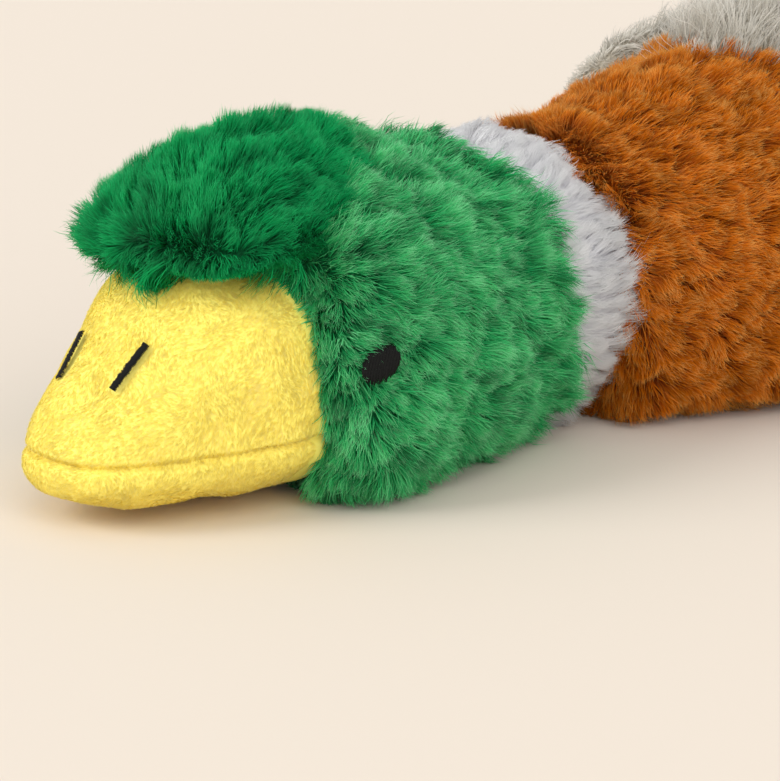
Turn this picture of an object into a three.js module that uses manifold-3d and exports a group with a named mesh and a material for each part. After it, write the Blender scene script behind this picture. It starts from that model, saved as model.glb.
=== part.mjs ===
// A stuffed plush drake that lies on its belly, with its head and bill on the ground in front of it.
// The duck faces -Y, its left side is +X, up is +Z, and it lies on the plane z = 0.
// Lengths are in millimetres. The origin is the middle of the belly's flat resting face.

import * as THREE from "three";
import { mergeVertices } from "three/addons/utils/BufferGeometryUtils.js";
import Module from "manifold-3d";

const wasm = await Module();
wasm.setup();

// Torso
const TORSO_LENGTH = 225;
const TORSO_HALF_WIDTH = 70;
const TORSO_HEIGHT = 108;
const BELLY_CENTRE_SHARE = 0.49;
const BELLY_SEAM_HEIGHT = 13;
const BREAST_EDGE_AT_BACK = 84;
const BREAST_EDGE_AT_BELLY = 94;

// Neck: a stuffed ball under the white collar, about which the head nods and turns
const NECK_RADIUS = 41;
const COLLAR_WIDTH = 26;
const NECK_TILT = THREE.MathUtils.degToRad(13);

// Head, measured forward from the middle of the neck
const HEAD_LENGTH = 102;
const HEAD_HALF_WIDTH = 52;
const HEAD_HEIGHT = 89;
const CROWN_HALF_WIDTH = 17;
const CROWN_SEAM_HEIGHT = 62;

// Forelock: the long tuft over the forehead
const FORELOCK_START = 46;
const FORELOCK_LENGTH = 78;
const FORELOCK_HALF_WIDTH = 37;
const FORELOCK_BOTTOM = 52;
const FORELOCK_HEIGHT = 42;

// Bill
const BILL_START = 84;
const BILL_LENGTH = 68;
const BILL_HALF_WIDTH = 39;
const BILL_HEIGHT = 64;
const MOUTH_SEAM_AT_CHEEK = 20.5;
const MOUTH_SEAM_AT_TIP = 16.5;

// Embroidery on the face
const NOSTRIL_LENGTH = 14;
const NOSTRIL_WIDTH = 2.4;
const NOSTRIL_SETBACK = 49;
const NOSTRIL_OFF_CENTRE = 11.8;
const NOSTRIL_PAIR_SHIFT = 2.2;
const EYE_LENGTH = 11;
const EYE_HEIGHT = 9;
const EYE_SETBACK = 86;
const EYE_LEVEL = 39.5;
const STITCH_RELIEF = 0.8;
const EYE_SINK = 3;

// Wings
const WING_LENGTH = 112;
const WING_BREADTH = 58;
const WING_THICKNESS = 18;
const WING_EDGE_THICKNESS = 7;
const WING_TIP_TO_RUMP = 17;
const WING_CLEARANCE = 1;
const WING_ROOT_LENGTH = 38;
const WING_ROOT_SINK = 2;
const WING_TOP_ANGLE = THREE.MathUtils.degToRad(40);
const WING_TIP_ANGLE = THREE.MathUtils.degToRad(96);

// Tail
const TAIL_LENGTH = 56;
const TAIL_HALF_WIDTH = 30;
const TAIL_THICKNESS = 24;
const TAIL_DROP = 32;
const TAIL_PROUD = 4;
const TAIL_PITCH = THREE.MathUtils.degToRad(14);

// Feet
const FOOT_LENGTH = 52;
const FOOT_HALF_WIDTH = 23;
const FOOT_THICKNESS = 11;
const ANKLE_HALF_WIDTH = 9;
const ANKLE_SETBACK = 156;
const FOOT_SWEEP = THREE.MathUtils.degToRad(35);

// Fabrics: each skin is a knitted backing with its pile
const BACKING = 1;
const FUR_PILE = 5.5;
const SHAGGY_PILE = 5.5;
const MINKY_PILE = 1.6;
const FUR_SKIN = BACKING + FUR_PILE;
const SHAGGY_SKIN = BACKING + SHAGGY_PILE;
const MINKY_SKIN = BACKING + MINKY_PILE;
const LINING = 2;

// Clearances
const SEAM_GAP = 0.4;
const FILL_GAP = 0.5;
const SEAT_GAP = 0.4;
const TURN_GAP = 0.8;
const REST_FLAT_DEPTH = 0.5;
const OVERRUN = 5;

// Faces round and along each form
const TORSO_SIDES = 22;
const TORSO_RINGS = 13;
const HEAD_SIDES = 18;
const HEAD_RINGS = 10;
const BALL_SIDES = 24;
const BALL_RINGS = 12;
const BILL_SIDES = 16;
const BILL_RINGS = 9;
const FORELOCK_SIDES = 14;
const FORELOCK_RINGS = 8;
const TAIL_SIDES = 12;
const TAIL_RINGS = 7;
const WING_COLUMNS = 10;
const WING_ROWS = 4;
const FOOT_SIDES = 36;
const BAR_SIDES = 12;
const STITCH_COLUMNS = 6;
const STITCH_ROWS = 2;

// Stations of each form: distance along it, half width, and the heights of its underside,
// of its widest line and of its top, as shares of the form's own length, width and height
const TORSO_STATION_SHARES = [
  [0, 0, 0.37, 0.37, 0.37],
  [0.01, 0.5, 0.05, 0.37, 0.72],
  [0.075, 0.62, 0, 0.36, 0.77],
  [0.16, 0.76, 0, 0.31, 0.8],
  [0.26, 0.89, 0, 0.28, 0.83],
  [0.37, 0.97, 0, 0.28, 0.88],
  [0.52, 1, 0, 0.29, 0.97],
  [0.68, 0.96, 0, 0.32, 1],
  [0.81, 0.83, 0.03, 0.38, 0.96],
  [0.92, 0.6, 0.15, 0.48, 0.87],
  [0.98, 0.33, 0.33, 0.56, 0.76],
  [1, 0, 0.57, 0.57, 0.57],
];
const HEAD_STATION_SHARES = [
  [-0.06, 0, 0.46, 0.46, 0.46],
  [-0.05, 0.775, 0.03, 0.46, 0.9],
  [0.13, 0.83, 0, 0.46, 0.95],
  [0.36, 0.905, 0, 0.42, 0.98],
  [0.6, 0.98, 0, 0.37, 1],
  [0.79, 1, 0, 0.34, 0.96],
  [0.91, 0.905, 0, 0.32, 0.85],
  [0.975, 0.6, 0.07, 0.34, 0.66],
  [1, 0, 0.34, 0.34, 0.34],
];
const FORELOCK_STATION_SHARES = [
  [0, 0, 0.76, 0.76, 0.76],
  [0.05, 0.3, 0.6, 0.76, 0.9],
  [0.25, 0.62, 0.35, 0.62, 0.98],
  [0.5, 0.92, 0.17, 0.42, 0.98],
  [0.74, 1, 0.2, 0.33, 0.86],
  [0.92, 0.8, 0.19, 0.27, 0.55],
  [1, 0, 0.24, 0.24, 0.24],
];
const BILL_STATION_SHARES = [
  [0, 0, 0.4, 0.4, 0.4],
  [0.03, 0.88, 0.04, 0.41, 0.95],
  [0.2, 1, 0.02, 0.43, 1],
  [0.38, 0.97, 0.02, 0.43, 1],
  [0.56, 0.82, 0.025, 0.335, 0.835],
  [0.75, 0.66, 0.045, 0.265, 0.61],
  [0.91, 0.45, 0.085, 0.245, 0.455],
  [0.98, 0.26, 0.13, 0.245, 0.355],
  [1, 0, 0.245, 0.245, 0.245],
];
const TAIL_STATION_SHARES = [
  [-0.21, 0, 0.5, 0.5, 0.5],
  [-0.17, 0.7, 0.08, 0.5, 0.92],
  [0, 0.8, 0, 0.5, 1],
  [0.35, 0.95, 0.08, 0.5, 0.92],
  [0.65, 1, 0.16, 0.5, 0.84],
  [0.88, 0.72, 0.28, 0.5, 0.72],
  [1, 0, 0.5, 0.5, 0.5],
];

// Half of the webbed foot's outline, from the heel to the middle toe: half width, then length
const FOOT_OUTLINE_SHARES = [
  [0, -0.1],
  [0.3, -0.06],
  [0.36, 0.12],
  [0.52, 0.4],
  [0.86, 0.68],
  [1, 0.85],
  [0.87, 0.96],
  [0.58, 0.88],
  [0.32, 0.97],
  [0, 1],
];
// The foot's layers from its sole up: level, then size of its outline
const FOOT_LAYER_SHARES = [
  [0, 0.93],
  [0.25, 1],
  [0.55, 1],
  [0.85, 0.85],
  [0.96, 0.55],
];

// A wing's outline along its length: where its upper edge starts to drop and how fast, where it
// is broadest, how long it takes to taper from there, and how broad its blunt front is
const WING_DROP_START_SHARE = 0.4;
const WING_DROP_POWER = 1.5;
const WING_BROADEST_SHARE = 0.3;
const WING_TAPER_SHARE = 0.74;
const WING_FRONT_SHARE = 0.72;

// How much narrower a row of embroidery is at its ends
const STITCH_NARROWING_SHARE = 0.8;

// The stretch of the back's ridge on which the tail is looked for
const RUMP_SHARES = [0.7, 1];

// How finely places on a form are looked for
const BISECTIONS = 30;
const TANGENT_STEP_SHARE = 1e-3;

// Colours
const GREEN_FUR = 0x2f8c55;
const DARK_GREEN_FUR = 0x178049;
const YELLOW_MINKY = 0xfbe34a;
const WHITE_FUR = 0xeeeef2;
const BROWN_FUR = 0xa0551a;
const GREY_FUR = 0x99907f;
const BLACK_THREAD = 0x121212;
const FIBRE_FILL = 0xf4f1ea;

// Fabric has no metal in it; the short pile and the thread are a little smoother than fur
const FUR_ROUGHNESS = 0.95;
const MINKY_ROUGHNESS = 0.85;
const THREAD_ROUGHNESS = 0.6;

const NECK_Y = -BELLY_CENTRE_SHARE * TORSO_LENGTH;
const NECK_HEIGHT = NECK_RADIUS - REST_FLAT_DEPTH;
const WHOLE_REACH = TORSO_LENGTH + HEAD_LENGTH + BILL_LENGTH;
const WING_SETBACK = TORSO_LENGTH - WING_TIP_TO_RUMP - WING_LENGTH;
const TAIL_LEVEL = TORSO_HEIGHT - TAIL_DROP;

// Closed meshes and solids

function toSolid(geometry) {
  const bare = geometry.clone();
  bare.deleteAttribute("normal");
  bare.deleteAttribute("uv");
  const merged = mergeVertices(bare);
  const mesh = new wasm.Mesh({
    numProp: 3,
    vertProperties: new Float32Array(merged.attributes.position.array),
    triVerts: new Uint32Array(merged.index.array),
  });
  return new wasm.Manifold(mesh);
}

function toGeometry(solid) {
  const mesh = solid.getMesh();
  const geometry = new THREE.BufferGeometry();
  geometry.setAttribute("position", new THREE.BufferAttribute(mesh.vertProperties, mesh.numProp));
  geometry.setIndex(new THREE.BufferAttribute(mesh.triVerts, 1));
  return geometry;
}

// Rings of points, each as long as the last, closed by a point at either end
function closedRings(startPole, rings, endPole) {
  const count = rings[0].length;
  const points = [startPole, ...rings.flat(), endPole];
  const at = (ring, side) => 1 + ring * count + (side % count);
  const index = [];
  for (let side = 0; side < count; side += 1) {
    index.push(0, at(0, side), at(0, side + 1));
    for (let ring = 0; ring < rings.length - 1; ring += 1) {
      index.push(at(ring, side), at(ring + 1, side), at(ring + 1, side + 1));
      index.push(at(ring, side), at(ring + 1, side + 1), at(ring, side + 1));
    }
    index.push(points.length - 1, at(rings.length - 1, side + 1), at(rings.length - 1, side));
  }
  return facingOut(new THREE.BufferGeometry().setFromPoints(points), index);
}

// Sets the faces, turned round where the mesh would hold a negative volume
function facingOut(geometry, index) {
  const position = geometry.attributes.position;
  const [a, b, c] = [new THREE.Vector3(), new THREE.Vector3(), new THREE.Vector3()];
  let volume = 0;
  for (let i = 0; i < index.length; i += 3) {
    a.fromBufferAttribute(position, index[i]);
    b.fromBufferAttribute(position, index[i + 1]);
    c.fromBufferAttribute(position, index[i + 2]);
    volume += a.dot(b.cross(c));
  }
  geometry.setIndex(volume > 0 ? index : [...index].reverse());
  geometry.computeVertexNormals();
  return geometry;
}

function insetGeometry(geometry, inset) {
  const moved = geometry.clone();
  const { position, normal } = moved.attributes;
  const point = new THREE.Vector3();
  const out = new THREE.Vector3();
  for (let i = 0; i < position.count; i += 1) {
    point.fromBufferAttribute(position, i);
    out.fromBufferAttribute(normal, i);
    point.addScaledVector(out, -inset);
    position.setXYZ(i, point.x, point.y, point.z);
  }
  return moved;
}

function mirrored(geometry) {
  const flipped = geometry.clone().scale(-1, 1, 1);
  flipped.setIndex([...geometry.index.array].reverse());
  return flipped;
}

function block(low, high) {
  const size = new THREE.Vector3().subVectors(high, low);
  const middle = new THREE.Vector3().addVectors(low, high).divideScalar(2);
  return new THREE.BoxGeometry(size.x, size.y, size.z).translate(middle.x, middle.y, middle.z);
}

function ball(radius, centre = new THREE.Vector3()) {
  const geometry = new THREE.SphereGeometry(radius, BALL_SIDES, BALL_RINGS);
  return toSolid(geometry.translate(centre.x, centre.y, centre.z));
}

// A bar of round section between two points
function roundBar(radius, from, to) {
  const along = new THREE.Vector3().subVectors(to, from);
  const turn = new THREE.Quaternion().setFromUnitVectors(
    new THREE.Vector3(0, 1, 0),
    along.clone().normalize(),
  );
  const middle = new THREE.Vector3().addVectors(from, to).divideScalar(2);
  const geometry = new THREE.CylinderGeometry(radius, radius, along.length(), BAR_SIDES);
  return toSolid(geometry.applyQuaternion(turn).translate(middle.x, middle.y, middle.z));
}

function above(z) {
  const low = new THREE.Vector3(-WHOLE_REACH, -WHOLE_REACH, z);
  return toSolid(block(low, new THREE.Vector3(WHOLE_REACH, WHOLE_REACH, WHOLE_REACH)));
}

function leftOf(x) {
  const low = new THREE.Vector3(x, -WHOLE_REACH, -WHOLE_REACH);
  return toSolid(block(low, new THREE.Vector3(WHOLE_REACH, WHOLE_REACH, WHOLE_REACH)));
}

function rightOf(x) {
  const high = new THREE.Vector3(x, WHOLE_REACH, WHOLE_REACH);
  return toSolid(block(new THREE.Vector3(-WHOLE_REACH, -WHOLE_REACH, -WHOLE_REACH), high));
}

// Everything on one side of the neck's middle plane that lies past the given distance.
// The plane leans with the neck, its top toward the bill. Side is -1 for the head's side.
function pastNeckPlane(side, distance, centre) {
  const near = new THREE.Vector3(-WHOLE_REACH, distance, -WHOLE_REACH);
  const far = new THREE.Vector3(WHOLE_REACH, WHOLE_REACH, WHOLE_REACH);
  const geometry = block(near, far);
  if (side < 0) {
    geometry.rotateZ(Math.PI);
  }
  geometry.rotateX(NECK_TILT).translate(centre.x, centre.y, centre.z);
  return toSolid(geometry);
}

// A prism across the whole width, over a side view of [y, z] points
function acrossWidth(outline) {
  const shape = new THREE.Shape(outline.map(([y, z]) => new THREE.Vector2(y, z)));
  const geometry = new THREE.ExtrudeGeometry(shape, { depth: 2 * WHOLE_REACH, bevelEnabled: false });
  geometry.translate(0, 0, -WHOLE_REACH);
  const turn = new THREE.Matrix4().makeBasis(
    new THREE.Vector3(0, 1, 0),
    new THREE.Vector3(0, 0, 1),
    new THREE.Vector3(1, 0, 0),
  );
  return toSolid(geometry.applyMatrix4(turn));
}

// Stuffed forms: rings along Y that swell and taper

function makeForm(form) {
  const widths = form.stationShares.map(([along, wide, low]) => new THREE.Vector3(along, wide, low));
  const heights = form.stationShares.map(([, , , widest, top]) => new THREE.Vector3(widest, top, 0));
  return {
    firstBottomPower: form.bottomPower,
    roundStretchShare: 1,
    ...form,
    widthCurve: new THREE.CatmullRomCurve3(widths, false, "catmullrom"),
    heightCurve: new THREE.CatmullRomCurve3(heights, false, "catmullrom"),
  };
}

// A form's lower half may start rounder than it goes on
function bottomPowerAt(form, along) {
  const share = Math.min(along / form.roundStretchShare, 1);
  return THREE.MathUtils.lerp(form.firstBottomPower, form.bottomPower, share);
}

// The angle is 0 on the back's ridge and grows towards the left side and the belly
function surfacePoint(form, along, angle) {
  const width = form.widthCurve.getPoint(along);
  const height = form.heightCurve.getPoint(along);
  const up = Math.cos(angle);
  const side = Math.sin(angle);
  const power = up > 0 ? form.topPower : bottomPowerAt(form, along);
  const rise = up > 0 ? height.y - height.x : height.x - width.z;
  const level = height.x + rise * Math.sign(up) * Math.abs(up) ** (2 / power);
  return new THREE.Vector3(
    form.halfWidth * width.y * Math.sign(side) * Math.abs(side) ** (2 / power),
    form.startY + form.direction * form.length * width.x,
    form.bottom + form.height * level,
  );
}

function surfaceTangents(form, along, angle) {
  const step = TANGENT_STEP_SHARE;
  const here = surfacePoint(form, along, angle);
  const ahead = surfacePoint(form, along + step, angle).sub(here).divideScalar(step);
  const round = surfacePoint(form, along, angle + step).sub(here).divideScalar(step);
  const out = new THREE.Vector3().crossVectors(ahead, round).normalize();
  if (form.direction > 0) {
    out.negate();
  }
  return { here, ahead, round, out };
}

function formGeometry(form) {
  const rings = [];
  for (let ring = 1; ring < form.rings; ring += 1) {
    const points = [];
    for (let side = 0; side < form.sides; side += 1) {
      points.push(surfacePoint(form, ring / form.rings, (2 * Math.PI * side) / form.sides));
    }
    rings.push(points);
  }
  return closedRings(surfacePoint(form, 0, 0), rings, surfacePoint(form, 1, 0));
}

function formSolid(form, inset = 0) {
  return toSolid(insetGeometry(formGeometry(form), inset));
}

// The value between two at which a test that holds at first stops holding
function bisect(first, last, holds) {
  let [from, to] = [first, last];
  for (let round = 0; round < BISECTIONS; round += 1) {
    const middle = (from + to) / 2;
    [from, to] = holds(middle) ? [middle, to] : [from, middle];
  }
  return from;
}

// The share along a form's curve at which it has come a distance from its start
function alongAt(form, distance) {
  return bisect(0, 1, (along) => form.widthCurve.getPoint(along).x * form.length < distance);
}

// The angle on the left of a form's upper side at which its skin is a distance off centre
function angleAtWidth(form, along, width) {
  return bisect(0, Math.PI / 2, (angle) => surfacePoint(form, along, angle).x < width);
}

// The angle on the left flank, between two angles, at which a form's skin has a given height
function angleAtHeight(form, along, height, upper, lower) {
  return bisect(upper, lower, (angle) => surfacePoint(form, along, angle).z > height);
}

// A thick patch that follows a form's skin. The function toSkin gives the place of each grid
// point as a share along the form and an angle, and the heights of its two faces over the skin.
function skinPatch(form, columns, rows, toSkin) {
  const under = [];
  const over = [];
  for (let column = 0; column <= columns; column += 1) {
    for (let row = 0; row <= rows; row += 1) {
      const { along, angle, low, high } = toSkin(column / columns, row / rows);
      const { here, out } = surfaceTangents(form, along, angle);
      under.push(here.clone().addScaledVector(out, low));
      over.push(here.clone().addScaledVector(out, high));
    }
  }
  return facingOut(
    new THREE.BufferGeometry().setFromPoints([...under, ...over]),
    patchFaces(columns, rows, under.length),
  );
}

function patchFaces(columns, rows, count) {
  const index = [];
  const quad = (a, b, c, d) => index.push(a, b, c, a, c, d);
  const at = (column, row) => column * (rows + 1) + row;
  for (let column = 0; column < columns; column += 1) {
    for (let row = 0; row < rows; row += 1) {
      const a = at(column, row);
      const b = at(column, row + 1);
      const c = at(column + 1, row + 1);
      const d = at(column + 1, row);
      quad(a, b, c, d);
      quad(a + count, d + count, c + count, b + count);
    }
  }
  const wall = (from, to) => quad(from, from + count, to + count, to);
  for (let column = 0; column < columns; column += 1) {
    wall(at(column + 1, 0), at(column, 0));
    wall(at(column, rows), at(column + 1, rows));
  }
  for (let row = 0; row < rows; row += 1) {
    wall(at(0, row), at(0, row + 1));
    wall(at(columns, row + 1), at(columns, row));
  }
  return index;
}

// Small embroidery: a rounded patch on the left side of a form, of a length along the form and
// a width round it
function stitchPatch(form, along, angle, length, width, low, high) {
  const { ahead, round } = surfaceTangents(form, along, angle);
  return skinPatch(form, STITCH_COLUMNS, STITCH_ROWS, (column, row) => {
    const lengthways = 2 * column - 1;
    const narrowed = Math.sqrt(Math.max(1 - STITCH_NARROWING_SHARE * lengthways ** 4, 0));
    return {
      along: along + (lengthways * length) / 2 / ahead.length(),
      angle: angle + ((2 * row - 1) * narrowed * width) / 2 / round.length(),
      low,
      high,
    };
  });
}

// The forms

const torso = makeForm({
  startY: NECK_Y,
  direction: 1,
  length: TORSO_LENGTH,
  halfWidth: TORSO_HALF_WIDTH,
  bottom: -REST_FLAT_DEPTH,
  height: TORSO_HEIGHT,
  topPower: 1.75,
  bottomPower: 4.2,
  sides: TORSO_SIDES,
  rings: TORSO_RINGS,
  stationShares: TORSO_STATION_SHARES,
});

// The head, the forelock and the bill are measured from the middle of the neck
const head = makeForm({
  startY: 0,
  direction: -1,
  length: HEAD_LENGTH,
  halfWidth: HEAD_HALF_WIDTH,
  bottom: -NECK_RADIUS,
  height: HEAD_HEIGHT,
  topPower: 2.1,
  bottomPower: 3.6,
  firstBottomPower: 2,
  roundStretchShare: 0.6,
  sides: HEAD_SIDES,
  rings: HEAD_RINGS,
  stationShares: HEAD_STATION_SHARES,
});

const forelock = makeForm({
  startY: -FORELOCK_START,
  direction: -1,
  length: FORELOCK_LENGTH,
  halfWidth: FORELOCK_HALF_WIDTH,
  bottom: FORELOCK_BOTTOM - NECK_HEIGHT,
  height: FORELOCK_HEIGHT,
  topPower: 1.75,
  bottomPower: 2,
  sides: FORELOCK_SIDES,
  rings: FORELOCK_RINGS,
  stationShares: FORELOCK_STATION_SHARES,
});

const bill = makeForm({
  startY: -BILL_START,
  direction: -1,
  length: BILL_LENGTH,
  halfWidth: BILL_HALF_WIDTH,
  bottom: -NECK_RADIUS,
  height: BILL_HEIGHT,
  topPower: 2.3,
  bottomPower: 2.4,
  sides: BILL_SIDES,
  rings: BILL_RINGS,
  stationShares: BILL_STATION_SHARES,
});

// The tail is measured from its hinge line across the rump
const tail = makeForm({
  startY: 0,
  direction: 1,
  length: TAIL_LENGTH,
  halfWidth: TAIL_HALF_WIDTH,
  bottom: -TAIL_THICKNESS / 2,
  height: TAIL_THICKNESS,
  topPower: 2.2,
  bottomPower: 2.2,
  sides: TAIL_SIDES,
  rings: TAIL_RINGS,
  stationShares: TAIL_STATION_SHARES,
});

const NECK_CENTRE = new THREE.Vector3(0, NECK_Y, NECK_HEIGHT);
const floorOfTorso = above(0);
const floorOfHead = above(-NECK_HEIGHT);

// Meshes

function fabric(color, roughness = FUR_ROUGHNESS) {
  return new THREE.MeshStandardMaterial({ color, roughness, metalness: 0 });
}

function piece(name, solidOrGeometry, material) {
  const isGeometry = solidOrGeometry.isBufferGeometry;
  const mesh = new THREE.Mesh(isGeometry ? solidOrGeometry : toGeometry(solidOrGeometry), material);
  mesh.name = name;
  return mesh;
}

// Neck

function makeNeck() {
  const neck = new THREE.Group();
  neck.position.copy(NECK_CENTRE);
  const outside = (halfWidth) =>
    pastNeckPlane(1, halfWidth, new THREE.Vector3()).add(
      pastNeckPlane(-1, halfWidth, new THREE.Vector3()),
    );
  const whole = ball(NECK_RADIUS).intersect(floorOfHead);
  const core = ball(NECK_RADIUS - FUR_SKIN - FILL_GAP);
  const collar = whole
    .subtract(ball(NECK_RADIUS - FUR_SKIN))
    .subtract(outside(COLLAR_WIDTH / 2));
  const filling = whole.intersect(outside(COLLAR_WIDTH / 2 + SEAM_GAP)).add(core);
  neck.add(piece("collar", collar, fabric(WHITE_FUR)));
  neck.add(piece("neck_stuffing", filling, fabric(FIBRE_FILL)));
  return neck;
}

// Head

function headForm(inset) {
  return formSolid(head, inset)
    .intersect(floorOfHead)
    .subtract(ball(NECK_RADIUS + TURN_GAP))
    .intersect(pastNeckPlane(-1, COLLAR_WIDTH / 2 + SEAM_GAP, new THREE.Vector3()));
}

function crownStrip(widening) {
  const low = new THREE.Vector3(
    -CROWN_HALF_WIDTH - widening,
    -WHOLE_REACH,
    CROWN_SEAM_HEIGHT - NECK_HEIGHT - widening,
  );
  const high = new THREE.Vector3(CROWN_HALF_WIDTH + widening, WHOLE_REACH, WHOLE_REACH);
  return toSolid(block(low, high));
}

function eyePatch(sink, growth, rise) {
  const along = alongAt(head, EYE_SETBACK);
  const level = EYE_LEVEL - NECK_HEIGHT;
  const angle = angleAtHeight(head, along, level, 0, Math.PI);
  const length = EYE_LENGTH + growth;
  return stitchPatch(head, along, angle, length, EYE_HEIGHT + growth, -sink, rise);
}

function addHeadPanels(group) {
  const skin = headForm(0).subtract(formSolid(head, FUR_SKIN));
  const pit = eyePatch(EYE_SINK + SEAT_GAP, 2 * SEAT_GAP, OVERRUN);
  const sides = skin
    .subtract(crownStrip(SEAM_GAP))
    .subtract(toSolid(pit))
    .subtract(toSolid(mirrored(pit)));
  const fur = fabric(GREEN_FUR);
  group.add(piece("head_left_panel", sides.intersect(leftOf(SEAM_GAP / 2)), fur));
  group.add(piece("head_right_panel", sides.intersect(rightOf(-SEAM_GAP / 2)), fur.clone()));
  group.add(piece("head_crown_gusset", skin.intersect(crownStrip(0)), fur.clone()));
  group.add(piece("head_stuffing", headForm(FUR_SKIN + FILL_GAP), fabric(FIBRE_FILL)));
  const eye = eyePatch(EYE_SINK, 0, STITCH_RELIEF - EYE_SINK);
  group.add(piece("eye_left", eye, fabric(BLACK_THREAD, THREAD_ROUGHNESS)));
  group.add(piece("eye_right", mirrored(eye), fabric(BLACK_THREAD, THREAD_ROUGHNESS)));
}

function addForelock(group) {
  const tuft = formSolid(forelock)
    .subtract(formSolid(head, -SEAT_GAP))
    .subtract(formSolid(bill, -SEAT_GAP));
  group.add(piece("forelock", tuft, fabric(DARK_GREEN_FUR)));
}

// The side view of what lies under the mouth seam, which falls towards the bill's tip
function underMouthSeam(shift) {
  const rear = -BILL_START + OVERRUN;
  const tip = -BILL_START - BILL_LENGTH - OVERRUN;
  return acrossWidth([
    [rear, -WHOLE_REACH],
    [rear, MOUTH_SEAM_AT_CHEEK - NECK_HEIGHT + shift],
    [tip, MOUTH_SEAM_AT_TIP - NECK_HEIGHT + shift],
    [tip, -WHOLE_REACH],
  ]);
}

function addBill(group) {
  const cheeks = formSolid(head, -SEAT_GAP);
  const whole = formSolid(bill).subtract(cheeks);
  const skin = whole.subtract(formSolid(bill, MINKY_SKIN));
  const minky = fabric(YELLOW_MINKY, MINKY_ROUGHNESS);
  group.add(piece("bill_lower_panel", skin.intersect(underMouthSeam(-SEAM_GAP / 2)), minky));
  group.add(piece("bill_upper_panel", skin.subtract(underMouthSeam(SEAM_GAP / 2)), minky.clone()));
  const filling = formSolid(bill, MINKY_SKIN + FILL_GAP).subtract(cheeks);
  group.add(piece("bill_stuffing", filling, fabric(FIBRE_FILL)));
  addNostrils(group);
}

function nostrilBar(offCentre) {
  const along = alongAt(bill, NOSTRIL_SETBACK);
  const angle = angleAtWidth(bill, along, offCentre);
  const raised = SEAT_GAP + STITCH_RELIEF;
  return stitchPatch(bill, along, angle, NOSTRIL_LENGTH, NOSTRIL_WIDTH, SEAT_GAP, raised);
}

// The pair is sewn a little to the right of the bill's middle
function addNostrils(group) {
  const left = nostrilBar(NOSTRIL_OFF_CENTRE - NOSTRIL_PAIR_SHIFT);
  const right = mirrored(nostrilBar(NOSTRIL_OFF_CENTRE + NOSTRIL_PAIR_SHIFT));
  group.add(piece("nostril_left", left, fabric(BLACK_THREAD, THREAD_ROUGHNESS)));
  group.add(piece("nostril_right", right, fabric(BLACK_THREAD, THREAD_ROUGHNESS)));
}

function makeHead() {
  const group = new THREE.Group();
  addHeadPanels(group);
  addForelock(group);
  addBill(group);
  return group;
}

// Wings: padded leaves that hug the flanks, hinged along the front of their upper edge

// How far the upper edge has dropped towards the tip, and how broad the leaf is, as shares
function wingOutline(share) {
  const drop = Math.max(share - WING_DROP_START_SHARE, 0) ** WING_DROP_POWER;
  const tapered = (share - WING_BROADEST_SHARE) / WING_TAPER_SHARE;
  const leaf = Math.sqrt(Math.max(1 - tapered ** 2, 0));
  return { drop, broad: Math.min(leaf, WING_FRONT_SHARE + share) };
}

// One layer of a wing: inset from the leaf's outline by a margin, from one height over the
// flank up to the wing's swollen top less an inset
function wingLayer(margin, low, topInset, top = WING_EDGE_THICKNESS, swell = WING_THICKNESS) {
  const length = WING_LENGTH - 2 * margin;
  return toSolid(
    skinPatch(torso, WING_COLUMNS, WING_ROWS, (column, row) => {
      const reached = margin + column * length;
      const along = alongAt(torso, WING_SETBACK + reached);
      const { drop, broad } = wingOutline(reached / WING_LENGTH);
      const edge = WING_TOP_ANGLE + drop * (WING_TIP_ANGLE - WING_TOP_ANGLE);
      const round = surfaceTangents(torso, along, edge).round.length();
      const breadth = Math.max(WING_BREADTH * broad, 2 * SHAGGY_SKIN + WING_EDGE_THICKNESS);
      const across = margin + row * (breadth - 2 * margin);
      const crossShare = across / breadth;
      const lengthShare = reached / WING_LENGTH;
      const crown = Math.sqrt(4 * crossShare * (1 - crossShare) * (1 - (2 * lengthShare - 1) ** 4));
      const high = top + (swell - top) * crown - topInset;
      return {
        along,
        angle: edge + across / round,
        low: WING_CLEARANCE + low,
        high: WING_CLEARANCE + Math.max(high, low + BACKING),
      };
    }),
  );
}

// The ends of the hinge line along the wing's upper edge, a little sunk into the torso's pile
function wingHinge() {
  const height = WING_CLEARANCE + WING_EDGE_THICKNESS / 2 - WING_ROOT_SINK;
  return [0, WING_ROOT_LENGTH].map((distance) => {
    const along = alongAt(torso, WING_SETBACK + WING_EDGE_THICKNESS + distance);
    const { here, out } = surfaceTangents(torso, along, WING_TOP_ANGLE);
    return here.addScaledVector(out, height);
  });
}

function wingRoot(growth) {
  const [front, rear] = wingHinge();
  const more = new THREE.Vector3().subVectors(rear, front).setLength(growth);
  const radius = WING_EDGE_THICKNESS / 2 + growth;
  return roundBar(radius, front.sub(more), rear.add(more));
}

// A wing's own frame: at the front of its hinge line, which is its Y axis
function placeWing(object, side) {
  const [front, rear] = wingHinge();
  const along = new THREE.Vector3().subVectors(rear, front).normalize();
  along.x *= side;
  object.position.set(side * front.x, front.y, front.z);
  object.quaternion.setFromUnitVectors(new THREE.Vector3(0, 1, 0), along);
  object.updateMatrix();
  return object;
}

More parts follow.
